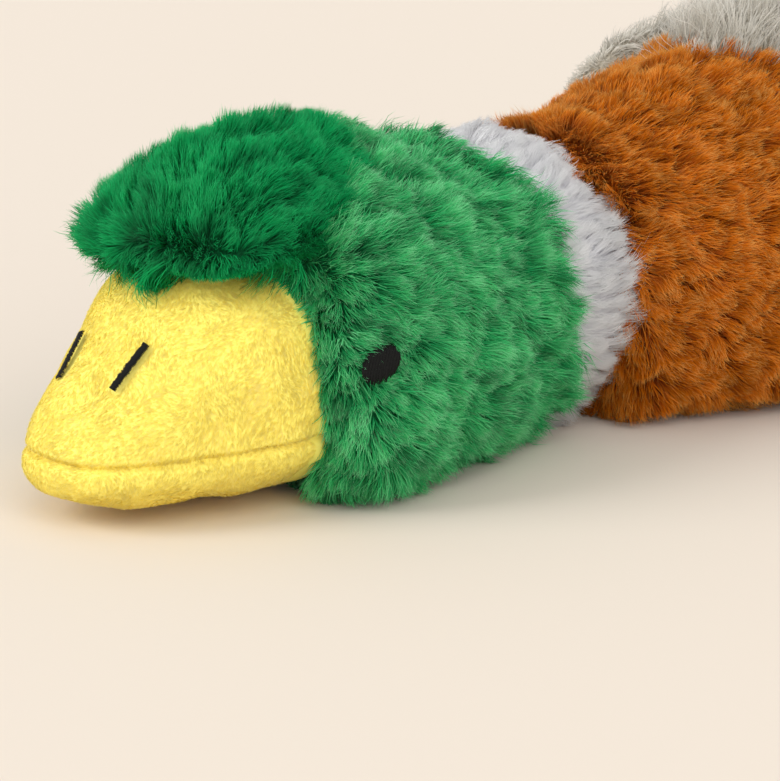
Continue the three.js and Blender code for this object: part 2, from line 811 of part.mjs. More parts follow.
// The wing is shaped on the left flank, mirrored for the right, and moved into its own frame
function makeWing(side) {
  const name = side > 0 ? "wing_left" : "wing_right";
  const group = placeWing(new THREE.Group(), side);
  const intoFrame = group.matrix.clone().invert();
  const add = (part, solid, material) => {
    const onFlank = side > 0 ? toGeometry(solid) : mirrored(toGeometry(solid));
    group.add(piece(`${name}_${part}`, onFlank.applyMatrix4(intoFrame), material));
  };
  const lining = wingLayer(0, 0, 0, LINING, LINING).subtract(wingRoot(SEAM_GAP));
  const underPanel = LINING + SEAM_GAP;
  const root = wingRoot(0).subtract(wingLayer(0, 0, 0, underPanel, underPanel));
  const whole = wingLayer(0, underPanel, 0).add(root);
  const pocket = wingLayer(SHAGGY_SKIN, 0, SHAGGY_SKIN);
  add("panel", whole.subtract(pocket), fabric(GREY_FUR));
  add("lining", lining, fabric(GREY_FUR));
  const wadding = wingLayer(SHAGGY_SKIN + FILL_GAP, LINING + FILL_GAP, SHAGGY_SKIN + FILL_GAP);
  add("wadding", wadding, fabric(FIBRE_FILL));
  return group;
}

// The tail's and the feet's roots turn about their own X axis, and reach out along +Y

function clearOfHinge() {
  const low = new THREE.Vector3(-WHOLE_REACH, 0, -WHOLE_REACH);
  return toSolid(block(low, new THREE.Vector3(WHOLE_REACH, WHOLE_REACH, WHOLE_REACH)));
}

function rootBar(radius, halfLength) {
  return roundBar(radius, new THREE.Vector3(-halfLength, 0, 0), new THREE.Vector3(halfLength, 0, 0));
}

// Tail

function shrunkForm(form, inset) {
  return {
    ...form,
    startY: form.startY + form.direction * inset,
    length: form.length - 2 * inset,
    halfWidth: form.halfWidth - inset,
    bottom: form.bottom + inset,
    height: form.height - 2 * inset,
  };
}

// The tail's hinge, on the ridge of the rump at the tail's level
function tailPlace() {
  const along = bisect(...RUMP_SHARES, (share) => surfacePoint(torso, share, 0).z > TAIL_LEVEL);
  const { here, out } = surfaceTangents(torso, along, 0);
  return here.addScaledVector(out, TAIL_PROUD).setX(0);
}

function makeTail() {
  const group = new THREE.Group();
  group.position.copy(tailPlace());
  group.rotation.x = TAIL_PITCH;
  const rounded = clearOfHinge().add(rootBar(TAIL_THICKNESS / 2, TAIL_HALF_WIDTH));
  const whole = formSolid(tail).intersect(rounded);
  const skin = whole.subtract(formSolid(shrunkForm(tail, SHAGGY_SKIN)));
  group.add(piece("tail_upper_panel", skin.intersect(above(SEAM_GAP / 2)), fabric(GREY_FUR)));
  group.add(piece("tail_under_panel", skin.subtract(above(-SEAM_GAP / 2)), fabric(WHITE_FUR)));
  const wadding = formSolid(shrunkForm(tail, SHAGGY_SKIN + FILL_GAP));
  group.add(piece("tail_wadding", wadding, fabric(FIBRE_FILL)));
  return group;
}

// Feet: webbed, padded, flat on the ground beside the belly

function footSolid(inset) {
  const halfWidth = FOOT_HALF_WIDTH - inset;
  const length = FOOT_LENGTH - 2 * inset;
  const half = FOOT_OUTLINE_SHARES.map(
    ([wide, along]) => new THREE.Vector2(wide * halfWidth, inset + along * length),
  );
  const otherHalf = half.map((point) => new THREE.Vector2(-point.x, point.y)).reverse();
  const outline = new THREE.SplineCurve([...half, ...otherHalf.slice(1)]);
  const points = outline.getPoints(FOOT_SIDES).slice(0, -1);
  const middleY = FOOT_LENGTH / 2;
  const thickness = FOOT_THICKNESS - 2 * inset;
  const at = (point, level, size) => {
    const y = middleY + (point.y - middleY) * size;
    return new THREE.Vector3(point.x * size, y, thickness * (level - 1 / 2));
  };
  const layer = ([level, size]) => points.map((point) => at(point, level, size));
  const rings = FOOT_LAYER_SHARES.map(layer);
  const middle = new THREE.Vector2(0, middleY);
  return toSolid(closedRings(at(middle, 0, 1), rings, at(middle, 1, 1)));
}

// Where the left ankle leaves the flank, at the height of a foot that lies on the ground
function anklePlace() {
  const along = alongAt(torso, ANKLE_SETBACK);
  const angle = angleAtHeight(torso, along, FOOT_THICKNESS, Math.PI / 2, Math.PI);
  return surfacePoint(torso, along, angle).setZ(FOOT_THICKNESS / 2);
}

function placeFoot(object, side) {
  const place = anklePlace();
  object.position.set(side * place.x, place.y, place.z);
  object.rotation.z = -side * (Math.PI / 2 - FOOT_SWEEP);
  return object;
}

function makeFoot(side) {
  const name = side > 0 ? "foot_left" : "foot_right";
  const group = placeFoot(new THREE.Group(), side);
  const ankle = rootBar(FOOT_THICKNESS / 2, ANKLE_HALF_WIDTH);
  const whole = footSolid(0).intersect(clearOfHinge()).add(ankle);
  const skin = whole.subtract(footSolid(MINKY_SKIN));
  const minky = fabric(YELLOW_MINKY, MINKY_ROUGHNESS);
  group.add(piece(`${name}_top_panel`, skin.intersect(above(SEAM_GAP / 2)), minky));
  group.add(piece(`${name}_sole_panel`, skin.subtract(above(-SEAM_GAP / 2)), minky.clone()));
  group.add(piece(`${name}_wadding`, footSolid(MINKY_SKIN + FILL_GAP), fabric(FIBRE_FILL)));
  return group;
}

// Torso

function inPlaceOf(object, solid) {
  object.updateMatrix();
  return toSolid(toGeometry(solid).applyMatrix4(object.matrix));
}

// What the wings', the tail's and the feet's roots take out of the torso
function rootHollows() {
  const wing = wingRoot(TURN_GAP);
  const otherWing = toSolid(mirrored(toGeometry(wing)));
  const tailFrame = new THREE.Object3D();
  tailFrame.position.copy(tailPlace());
  const tailBar = rootBar(TAIL_THICKNESS / 2 + TURN_GAP, TAIL_HALF_WIDTH + TURN_GAP);
  const footBar = rootBar(FOOT_THICKNESS / 2 + TURN_GAP, ANKLE_HALF_WIDTH + TURN_GAP);
  return [1, -1]
    .map((side) => inPlaceOf(placeFoot(new THREE.Object3D(), side), footBar))
    .concat([wing, otherWing, inPlaceOf(tailFrame, tailBar)])
    .reduce((sum, solid) => sum.add(solid));
}

function torsoForm(inset) {
  return formSolid(torso, inset)
    .intersect(floorOfTorso)
    .subtract(ball(NECK_RADIUS + TURN_GAP, NECK_CENTRE))
    .intersect(pastNeckPlane(1, COLLAR_WIDTH / 2 + SEAM_GAP, NECK_CENTRE))
    .subtract(rootHollows());
}

// The breast's share of a side view, ahead of a slanted edge
function aheadOfBreastEdge(shift) {
  const front = NECK_Y - OVERRUN;
  const top = TORSO_HEIGHT + OVERRUN;
  return acrossWidth([
    [front, -OVERRUN],
    [NECK_Y + BREAST_EDGE_AT_BELLY + shift, -OVERRUN],
    [NECK_Y + BREAST_EDGE_AT_BACK + shift, top],
    [front, top],
  ]);
}

function makeTorso() {
  const group = new THREE.Group();
  const skin = torsoForm(0).subtract(formSolid(torso, FUR_SKIN));
  const breast = skin.intersect(aheadOfBreastEdge(0));
  const rear = skin.subtract(aheadOfBreastEdge(SEAM_GAP));
  const back = rear.intersect(above(BELLY_SEAM_HEIGHT + SEAM_GAP));
  const left = leftOf(SEAM_GAP / 2);
  const right = rightOf(-SEAM_GAP / 2);
  group.add(piece("breast_left_panel", breast.intersect(left), fabric(BROWN_FUR)));
  group.add(piece("breast_right_panel", breast.intersect(right), fabric(BROWN_FUR)));
  group.add(piece("back_left_panel", back.intersect(left), fabric(GREY_FUR)));
  group.add(piece("back_right_panel", back.intersect(right), fabric(GREY_FUR)));
  group.add(piece("belly_panel", rear.subtract(above(BELLY_SEAM_HEIGHT)), fabric(GREY_FUR)));
  group.add(piece("torso_stuffing", torsoForm(FUR_SKIN + FILL_GAP), fabric(FIBRE_FILL)));
  return group;
}

const duck = new THREE.Group();
const neckAndHead = makeNeck();
neckAndHead.add(makeHead());
duck.add(makeTorso(), neckAndHead, makeTail());
for (const side of [1, -1]) {
  duck.add(makeWing(side), makeFoot(side));
}

export default duck;
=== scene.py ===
"""The looks of a plush drake lying on its belly: stuffed skins under a pile of modelled fibres.

Lengths are in metres in the part's frame: -Y towards the bill, +X the duck's left side, +Z up.
"""

import math

import bpy
import numpy as np
from mathutils import Matrix, Vector


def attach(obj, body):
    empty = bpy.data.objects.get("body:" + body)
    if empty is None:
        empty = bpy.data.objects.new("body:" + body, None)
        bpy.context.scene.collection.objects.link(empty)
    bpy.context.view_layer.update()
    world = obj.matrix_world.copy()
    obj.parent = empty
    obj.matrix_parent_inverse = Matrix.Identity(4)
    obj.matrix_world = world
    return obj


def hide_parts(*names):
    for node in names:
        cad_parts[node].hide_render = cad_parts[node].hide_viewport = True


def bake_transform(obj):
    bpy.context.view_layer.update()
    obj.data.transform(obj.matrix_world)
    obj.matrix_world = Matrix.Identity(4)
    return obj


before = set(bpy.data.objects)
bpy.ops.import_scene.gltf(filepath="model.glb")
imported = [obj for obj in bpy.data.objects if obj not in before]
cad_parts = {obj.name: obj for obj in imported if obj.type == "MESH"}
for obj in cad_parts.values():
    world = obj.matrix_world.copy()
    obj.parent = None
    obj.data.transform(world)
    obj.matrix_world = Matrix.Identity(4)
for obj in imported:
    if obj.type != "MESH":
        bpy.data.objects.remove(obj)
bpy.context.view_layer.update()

MM = 0.001
# A small share or angle, for slopes
STEP = 1e-3

# The forms of the part's source, repeated: sizes in mm, stations as shares of the form's sizes

NECK = np.array([0, -110.25, 40.5]) * MM
NECK_TILT = math.radians(13)
NECK_AXIS = np.array([0, math.cos(NECK_TILT), math.sin(NECK_TILT)])
NECK_RADIUS = 41 * MM
COLLAR_HALF = 13 * MM
REST_DEPTH = 0.5

TORSO_STATIONS = [
    (0, 0, 0.37, 0.37, 0.37), (0.01, 0.5, 0.05, 0.37, 0.72), (0.075, 0.62, 0, 0.36, 0.77),
    (0.16, 0.76, 0, 0.31, 0.8), (0.26, 0.89, 0, 0.28, 0.83), (0.37, 0.97, 0, 0.28, 0.88),
    (0.52, 1, 0, 0.29, 0.97), (0.68, 0.96, 0, 0.32, 1), (0.81, 0.83, 0.03, 0.38, 0.96),
    (0.92, 0.6, 0.15, 0.48, 0.87), (0.98, 0.33, 0.33, 0.56, 0.76), (1, 0, 0.57, 0.57, 0.57),
]
HEAD_STATIONS = [
    (-0.06, 0, 0.46, 0.46, 0.46), (-0.05, 0.775, 0.03, 0.46, 0.9), (0.13, 0.83, 0, 0.46, 0.95),
    (0.36, 0.905, 0, 0.42, 0.98), (0.6, 0.98, 0, 0.37, 1), (0.79, 1, 0, 0.34, 0.96),
    (0.91, 0.905, 0, 0.32, 0.85), (0.975, 0.6, 0.07, 0.34, 0.66), (1, 0, 0.34, 0.34, 0.34),
]
FORELOCK_STATIONS = [
    (0, 0, 0.76, 0.76, 0.76), (0.05, 0.3, 0.6, 0.76, 0.9), (0.25, 0.62, 0.35, 0.62, 0.98),
    (0.5, 0.92, 0.17, 0.42, 0.98), (0.74, 1, 0.2, 0.33, 0.86), (0.92, 0.8, 0.19, 0.27, 0.55),
    (1, 0, 0.24, 0.24, 0.24),
]
BILL_STATIONS = [
    (0, 0, 0.4, 0.4, 0.4), (0.03, 0.88, 0.04, 0.41, 0.95), (0.2, 1, 0.02, 0.43, 1),
    (0.38, 0.97, 0.02, 0.43, 1), (0.56, 0.82, 0.025, 0.335, 0.835),
    (0.75, 0.66, 0.045, 0.265, 0.61), (0.91, 0.45, 0.085, 0.245, 0.455),
    (0.98, 0.26, 0.13, 0.245, 0.355), (1, 0, 0.245, 0.245, 0.245),
]
TAIL_STATIONS = [
    (-0.21, 0, 0.5, 0.5, 0.5), (-0.17, 0.7, 0.08, 0.5, 0.92), (0, 0.8, 0, 0.5, 1),
    (0.35, 0.95, 0.08, 0.5, 0.92), (0.65, 1, 0.16, 0.5, 0.84), (0.88, 0.72, 0.28, 0.5, 0.72),
    (1, 0, 0.5, 0.5, 0.5),
]
FOOT_OUTLINE = [
    (0, -0.1), (0.3, -0.06), (0.36, 0.12), (0.52, 0.4), (0.86, 0.68), (1, 0.85), (0.87, 0.96),
    (0.58, 0.88), (0.32, 0.97), (0, 1),
]

# How far the skins lie inside the forms under long and under short pile
FUR_INSET = 5.2 * MM
MINKY_INSET = 1.6 * MM
BALL_RADIUS = NECK_RADIUS - FUR_INSET
# Gaps of the hollow and of the rim round the neck, and the lowest places of skins and of roots
HOLLOW_GAP, RIM_SEAM = 0.8 * MM, 0.4 * MM
SKIN_REST, MINKY_REST, PILE_FLOOR = 0.6 * MM, 0.5 * MM, 0.7 * MM
# The depths in the bill, in the forelock and in the head at which a neighbour's pile ends
BILL_COVER, FORELOCK_COVER, CREST_SEAT, BILL_SEAT = 0.95, 0.8, 0.885, 0.86

# Sums


def unit(v):
    return v / np.maximum(np.linalg.norm(v, axis=-1, keepdims=True), 1e-12)


def length_of(v):
    return np.linalg.norm(v, axis=-1)


def dot(a, b):
    return np.einsum("ij,ij->i", a, b)


def angles_round(sides):
    return np.arange(sides) * 2 * math.pi / sides


def fade(value, start, span):
    """From 0 at the start to 1 a span further, both in mm. A negative span runs backwards."""
    return np.clip((value - start * MM) / (span * MM), 0, 1)


def bell(value, width):
    """1 where the value is 0, falling off over a width in mm."""
    return np.exp(-(value / (width * MM)) ** 2)


def soft_step(value, softness):
    """From 0 below to 1 above, over a softness in mm."""
    return 1 / (1 + np.exp(-value / (softness * MM)))


def between(a, b, share):
    """From a where the share is 0 to b where it is 1."""
    return a * (1 - share)[:, None] + b * share[:, None]


def blob(points, centre, size):
    """1 at a centre, falling off over a size, one for all axes or one for each, all in mm."""
    gap = (points - np.array(centre) * MM) / (np.array(size) * MM)
    return np.exp(-length_of(gap) ** 2)


def sided(v, points):
    """v, mirrored where the points are on the right side."""
    return v * np.where(points[:, :1] < 0, -1, 1) ** np.array([1, 0, 0])


def on_left(points):
    """The points, those of the right side mirrored onto the left."""
    return sided(points, points)


def spline(points, share):
    """Catmull-Rom through the points, at shares from 0 to 1 of their count."""
    points = np.asarray(points, float)
    ends = np.vstack([2 * points[0] - points[1], points, 2 * points[-1] - points[-2]])
    place = np.clip(share, 0, 1) * (len(points) - 1)
    i = np.minimum(np.floor(place).astype(int), len(points) - 2)
    w = (place - i)[..., None]
    a, b, c, d = ends[i], ends[i + 1], ends[i + 2], ends[i + 3]
    t0, t1 = (c - a) / 2, (d - b) / 2
    return b + t0 * w + (3 * (c - b) - 2 * t0 - t1) * w**2 + (2 * (b - c) + t0 + t1) * w**3


class Form:
    """Rings along Y that swell and taper. Angle 0 is on the top's ridge and grows to the left."""

    def __init__(self, start, direction, length, half_width, bottom, height, powers, stations,
                 first_power=None, round_stretch=1):
        self.start, self.direction, self.length = start * MM, direction, length * MM
        self.half_width, self.bottom, self.height = half_width * MM, bottom * MM, height * MM
        self.powers, self.stations = powers, np.array(stations, float)
        self.first_power = powers[1] if first_power is None else first_power
        self.round_stretch = round_stretch
        self.table_share = np.linspace(0, 1, 801)
        self.table = spline(self.stations, self.table_share)

    def bottom_power(self, along):
        """The lower half may start rounder than it goes on."""
        share = np.clip(along / self.round_stretch, 0, 1)
        return self.first_power + (self.powers[1] - self.first_power) * share

    def point(self, along, angle):
        along, angle = np.broadcast_arrays(np.asarray(along, float), np.asarray(angle, float))
        reach, wide, low, widest, top = np.moveaxis(spline(self.stations, along), -1, 0)
        up, side = np.cos(angle), np.sin(angle)
        power = np.where(up > 0, self.powers[0], self.bottom_power(along))
        rise = np.where(up > 0, top - widest, widest - low)
        level = widest + rise * np.sign(up) * np.abs(up) ** (2 / power)
        x = self.half_width * wide * np.sign(side) * np.abs(side) ** (2 / power)
        y = self.start + self.direction * self.length * reach
        return np.stack([x, y, self.bottom + self.height * level], -1)

    def along_at(self, distance):
        """The share along the curve at which the form has come a distance from its start."""
        return np.interp(np.asarray(distance) / self.length, self.table[:, 0], self.table_share)

    def depth(self, points):
        """Below 1 inside the form, above 1 outside of it."""
        reach = (points[:, 1] - self.start) * self.direction / self.length
        reaches = self.table[:, 0]
        wide, low, widest, top = (np.interp(reach, reaches, self.table[:, k]) for k in range(1, 5))
        level = (points[:, 2] - self.bottom) / self.height
        up = level > widest
        along = np.interp(reach, reaches, self.table_share)
        power = np.where(up, self.powers[0], self.bottom_power(along))
        rise = np.maximum(np.where(up, top - widest, widest - low), 1e-4)
        across = np.abs(points[:, 0]) / np.maximum(self.half_width * wide, 1e-6)
        value = across**power + (np.abs(level - widest) / rise) ** power
        outside = (reach < reaches[0]) | (reach > 1)
        return np.where(outside, 9, value ** (1 / power))


NECK_Y, NECK_Z = NECK[1] / MM, NECK[2] / MM
torso = Form(NECK_Y, 1, 225, 70, -REST_DEPTH, 108, (1.75, 4.2), TORSO_STATIONS)
head = Form(NECK_Y, -1, 102, 52, NECK_Z - 41, 89, (2.1, 3.6), HEAD_STATIONS, 2, 0.6)
forelock = Form(NECK_Y - 46, -1, 78, 37, 52, 42, (1.75, 2), FORELOCK_STATIONS)
bill = Form(NECK_Y - 84, -1, 68, 39, NECK_Z - 41, 64, (2.3, 2.4), BILL_STATIONS)
tail = Form(0, 1, 56, 30, -12, 24, (2.2, 2.2), TAIL_STATIONS)

# Meshes


def ring_faces(rings, sides):
    """Quads between rings and fans to a first and a last point."""
    r, s = np.meshgrid(np.arange(rings - 1), np.arange(sides), indexing="ij")
    a, b = 1 + r * sides + s, 1 + r * sides + (s + 1) % sides
    quads = np.stack([a, a + sides, b + sides, b], -1).reshape(-1, 4)
    side = np.arange(sides)
    nxt = (side + 1) % sides
    end, last = 1 + rings * sides, 1 + (rings - 1) * sides
    fans = np.concatenate([
        np.stack([np.zeros_like(side), 1 + side, 1 + nxt], -1),
        np.stack([np.full_like(side, end), last + nxt, last + side], -1),
    ])
    return quads, fans


def triangles_of(quads, fans):
    return np.concatenate([quads[:, [0, 1, 2]], quads[:, [0, 2, 3]], fans])


def corners_of(points, triangles):
    return [points[triangles[:, k]] for k in range(3)]


def normals_of(points, triangles):
    a, b, c = corners_of(points, triangles)
    face = np.cross(b - a, c - a)
    out = np.zeros_like(points)
    for k in range(3):
        for axis in range(3):
            out[:, axis] += np.bincount(triangles[:, k], face[:, axis], len(points))
    return unit(out)


class Shell:
    """A closed skin: points, quads, fans and outward normals."""

    def __init__(self, rings, first, last):
        points = np.concatenate([[first], rings.reshape(-1, 3), [last]])
        self.quads, self.fans = ring_faces(*rings.shape[:2])
        a, b, c = corners_of(points, triangles_of(self.quads, self.fans))
        if dot(a, np.cross(b, c)).sum() < 0:
            self.quads, self.fans = self.quads[:, ::-1], self.fans[:, ::-1]
        self.triangles = triangles_of(self.quads, self.fans)
        self.shaped(points)

    def shaped(self, points):
        self.points = points
        self.normals = normals_of(points, self.triangles)
        return self

    def moved(self, amount):
        """The skin moved out by an amount, one for all points or one for each."""
        return self.shaped(self.points + self.normals * np.asarray(amount).reshape(-1, 1))

    def placed(self, matrix):
        m = np.array(matrix)
        return self.shaped(self.points @ m[:3, :3].T + m[:3, 3])

    def resting(self, floor):
        self.points[:, 2] = np.maximum(self.points[:, 2], floor)
        return self


def closed(rings):
    """Rings closed with a fan to the middle of each end."""
    return Shell(rings, rings[0].mean(0), rings[-1].mean(0))


def linked(name, data):
    """A new object in the scene."""
    obj = bpy.data.objects.new(name, data)
    bpy.context.scene.collection.objects.link(obj)
    return obj


def mesh_object(name, points, quads, fans, material):
    mesh = bpy.data.meshes.new(name)
    loops = np.concatenate([quads.ravel(), fans.ravel()]).astype(np.int32)
    starts = np.concatenate([
        np.arange(len(quads)) * 4, 4 * len(quads) + np.arange(len(fans)) * 3,
    ]).astype(np.int32)
    mesh.vertices.add(len(points))
    mesh.vertices.foreach_set("co", points.astype(np.float32).ravel())
    mesh.loops.add(len(loops))
    mesh.loops.foreach_set("vertex_index", loops)
    mesh.polygons.add(len(starts))
    mesh.polygons.foreach_set("loop_start", starts)
    mesh.polygons.foreach_set("use_smooth", np.full(len(starts), True))
    mesh.materials.append(material)
    mesh.update(calc_edges=True)
    return linked(name, mesh)


def shell_object(name, shell, material):
    return mesh_object(name, shell.points, shell.quads, shell.fans, material)


def form_grid(form, rings, sides, first, last):
    """Rings between two shares along a form, which may differ round it."""
    share = np.linspace(0, 1, rings)[:, None]
    return form.point(first + (last - first) * share, angles_round(sides))


def inset_grid(grid, open_last):
    """Rings moved in by the pile. An open end's own normals are those of the ring next to it."""
    normals = closed(grid).normals[1:-1].reshape(grid.shape)
    normals[0] = normals[1] = normals[2]
    if open_last:
        normals[-1] = normals[-2] = normals[-3]
    return grid - FUR_INSET * normals


def crossing(form, sides, axis, distance):
    """Where a form crosses the neck's leaning plane, for each angle round it."""
    share = np.linspace(0, 0.5, 1501)[:, None]
    past = (form.point(share, angles_round(sides)) - NECK) @ axis > distance
    return share[np.argmax(past, 0), 0]


def socket_rings(rim, axis, radius):
    """Rings from a rim down into the ball-shaped hollow that the neck sits in."""
    off = rim - NECK
    round_it = unit(off - np.outer(off @ axis, axis))
    start = math.acos(np.mean(off @ axis) / radius)
    turn = np.linspace(0.06, 1, 8)[:, None, None] * start
    return NECK + radius * (np.cos(turn) * axis + np.sin(turn) * round_it[None])


def necked_shell(form, side, rings, sides, last=1.0):
    """A form that opens in a socket round the neck's ball, its skin inset by its pile."""
    axis, radius = NECK_AXIS * side, BALL_RADIUS + HOLLOW_GAP
    first = crossing(form, sides, axis, COLLAR_HALF + RIM_SEAM)
    grid = form_grid(form, rings, sides, first, last)
    skin = inset_grid(grid, open_last=np.ndim(last) > 0)
    socket = socket_rings(skin[0], axis, radius)
    return Shell(np.concatenate([socket, skin]), NECK + axis * radius, grid[-1].mean(0))


# Noise


class Waves:
    """Smooth noise of about unit spread, from waves of about one length in mm, in random ways."""

    def __init__(self, seed, length, count=14):
        rng = np.random.default_rng(seed)
        way = unit(rng.normal(size=(count, 3)))
        self.k = way * (2 * math.pi / (length * MM)) * rng.uniform(0.6, 1.5, (count, 1))
        self.phase = rng.uniform(0, 2 * math.pi, count)

    def __call__(self, points):
        return np.sin(points @ self.k.T + self.phase).sum(1) / math.sqrt(len(self.phase) / 2)


def turned(v, axis, angle):
    """v turned about a unit axis at right angles to it."""
    return v * np.cos(angle)[:, None] + np.cross(axis, v) * np.sin(angle)[:, None]


def along_skin(v, normals):
    return unit(v - normals * dot(v, normals)[:, None])


# Pile: how the fibres differ, as spreads or as ranges, and how they are cut into pieces

TURN_SPREAD, LEAN_SPREAD, PULL_SPREAD = 0.16, 5, 0.15
LENGTH_SPREAD, LENGTH_RANGE, WIDTH_RANGE = 0.13, (0.72, 1.1), (0.75, 1.25)
BEND_SPREAD, SHAKE_SPREAD, RIBBON_SPIN = 0.13, 0.03, 0.9
TUFT_TONE, PATCH_TONE, LOCK_TONE = 0.13, 0.11, 0.08
TIP_FLOOR = 0.25 * MM
NOISE_CELLS = 64
FACES_A_PIECE = 195000
PALETTE_EDGE, PALETTE_STRIP = 0.03, 0.014


def scattered(shell, per_cm2, rng, wanted):
    """Points spread over a shell, with their normals. wanted(points, normals) gives a chance."""
    t = shell.triangles
    a, b, c = corners_of(shell.points, t)
    area = length_of(np.cross(b - a, c - a)) / 2
    count = int(area.sum() * per_cm2 * 1e4)
    pick = rng.choice(len(t), count, p=area / area.sum())
    u, v = rng.random(count), rng.random(count)
    over = u + v > 1
    u[over], v[over] = 1 - u[over], 1 - v[over]
    w = np.stack([1 - u - v, u, v], -1)
    points = np.einsum("ik,ikj->ij", w, shell.points[t[pick]])
    normals = unit(np.einsum("ik,ikj->ij", w, shell.normals[t[pick]]))
    keep = rng.random(count) < wanted(points, normals)
    return points[keep], normals[keep]


def tuft_of(points, size, rng):
    """The number of the tuft that each point belongs to: the nearest jittered grid point."""
    cell = np.floor(points / size).astype(np.int64)
    shift = rng.random((NOISE_CELLS, NOISE_CELLS, NOISE_CELLS, 3)).astype(np.float32)
    best = np.full(len(points), np.inf)
    key = np.zeros(len(points), np.int64)
    for step in np.ndindex(3, 3, 3):
        near = cell + np.array(step) - 1
        m = near % NOISE_CELLS
        centre = (near + shift[m[:, 0], m[:, 1], m[:, 2]]) * size
        gap = ((points - centre) ** 2).sum(1)
        code = (near[:, 0] * 4096 + near[:, 1]) * 4096 + near[:, 2]
        key = np.where(gap < best, code, key)
        best = np.minimum(gap, best)
    return np.unique(key, return_inverse=True)[1]


def fibre_paths(points, normals, flow, length, lean, segments, groups, rng):
    """Each fibre's points from its root to its tip: it stands up, then leans over with the flow,
    bends a little to one side, and is drawn towards the middle of its tuft and of its lock."""
    count = len(points)
    bend = np.cross(normals, flow) * (rng.normal(size=count) * BEND_SPREAD * length)[:, None]
    path = np.zeros((segments + 1, count, 3))
    path[0] = points
    for k in range(segments):
        angle = lean[0] + (lean[1] - lean[0]) * ((k + 0.5) / segments)
        step = normals * np.cos(angle)[:, None] + flow * np.sin(angle)[:, None]
        path[k + 1] = path[k] + step * (length / segments)[:, None]
    for k in range(1, segments + 1):
        share = k / segments
        for group, strength in groups:
            size = np.maximum(np.bincount(group), 1)
            middle = np.stack([np.bincount(group, path[k][:, a]) / size for a in range(3)], -1)
            path[k] += (middle[group] - path[k]) * (strength * share**1.2)[:, None]
        shake = rng.normal(size=(count, 3)) * (length * SHAKE_SPREAD * share)[:, None]
        path[k] += bend * share**2 + shake
    path[..., 2] = np.maximum(path[..., 2], TIP_FLOOR)
    return path


def ribbons(path, normals, width, own_share, rng):
    """Ribbons that taper to a point, with normals between the ribbon's and the skin's. A ribbon's
    points run in pairs from its root, and end with its tip."""
    segments, count = path.shape[0] - 1, path.shape[1]
    spin = rng.uniform(-RIBBON_SPIN, RIBBON_SPIN, count)
    points, shade = [], []
    for k in range(segments):
        way = unit(path[k + 1] - path[max(k - 1, 0)])
        flat = unit(np.cross(way, normals) + 1e-6)
        side = flat * np.cos(spin)[:, None] + np.cross(flat, way) * np.sin(spin)[:, None]
        half = (width * (1 - 0.25 * k / segments) * 0.5)[:, None] * side
        own = np.cross(side, way)
        own *= np.where(dot(own, normals) < 0, -1, 1)[:, None]
        points += [path[k] - half, path[k] + half]
        shade += [unit(own_share * own + (1 - own_share) * normals)] * 2
    points.append(path[-1])
    shade.append(shade[-1])
    return [np.stack(rows, 1).reshape(-1, 3) for rows in (points, shade)]


def fur_object(name, path, normals, width, tint, own_share, material, rng):
    points, shade = ribbons(path, normals, width, own_share, rng)
    segments, count = path.shape[0] - 1, path.shape[1]
    rows = 2 * segments + 1
    base = (np.arange(count) * rows)[:, None]
    quads = np.concatenate([base + 2 * k + np.array([0, 1, 3, 2]) for k in range(segments - 1)])
    fans = base + rows - 3 + np.arange(3)
    obj = mesh_object(name, points, quads, fans, material)
    # The colour depends on tint and tip alone, so all fibres share one palette's map
    tips = np.tile(np.append(np.repeat(np.arange(segments) / segments, 2), 1), count)
    sides = np.tile([-1, 1] * segments + [0], count)
    tints = np.repeat(tint, rows)
    inner = 1 - 2 * PALETTE_EDGE
    place = np.stack([PALETTE_EDGE + inner * tints + PALETTE_STRIP * sides,
                      PALETTE_EDGE + inner * tips], -1)
    corners = np.concatenate([quads.ravel(), fans.ravel()])
    palette = obj.data.uv_layers.new(name="OFBake").data
    palette.foreach_set("uv", place[corners].astype(np.float32).ravel())
    for label, values in (("tip", tips), ("tint", tints)):
        layer = obj.data.attributes.new(label, "FLOAT", "POINT")
        layer.data.foreach_set("value", values.astype(np.float32))
    obj.data.normals_split_custom_set_from_vertices(shade.astype(np.float32))
    return obj


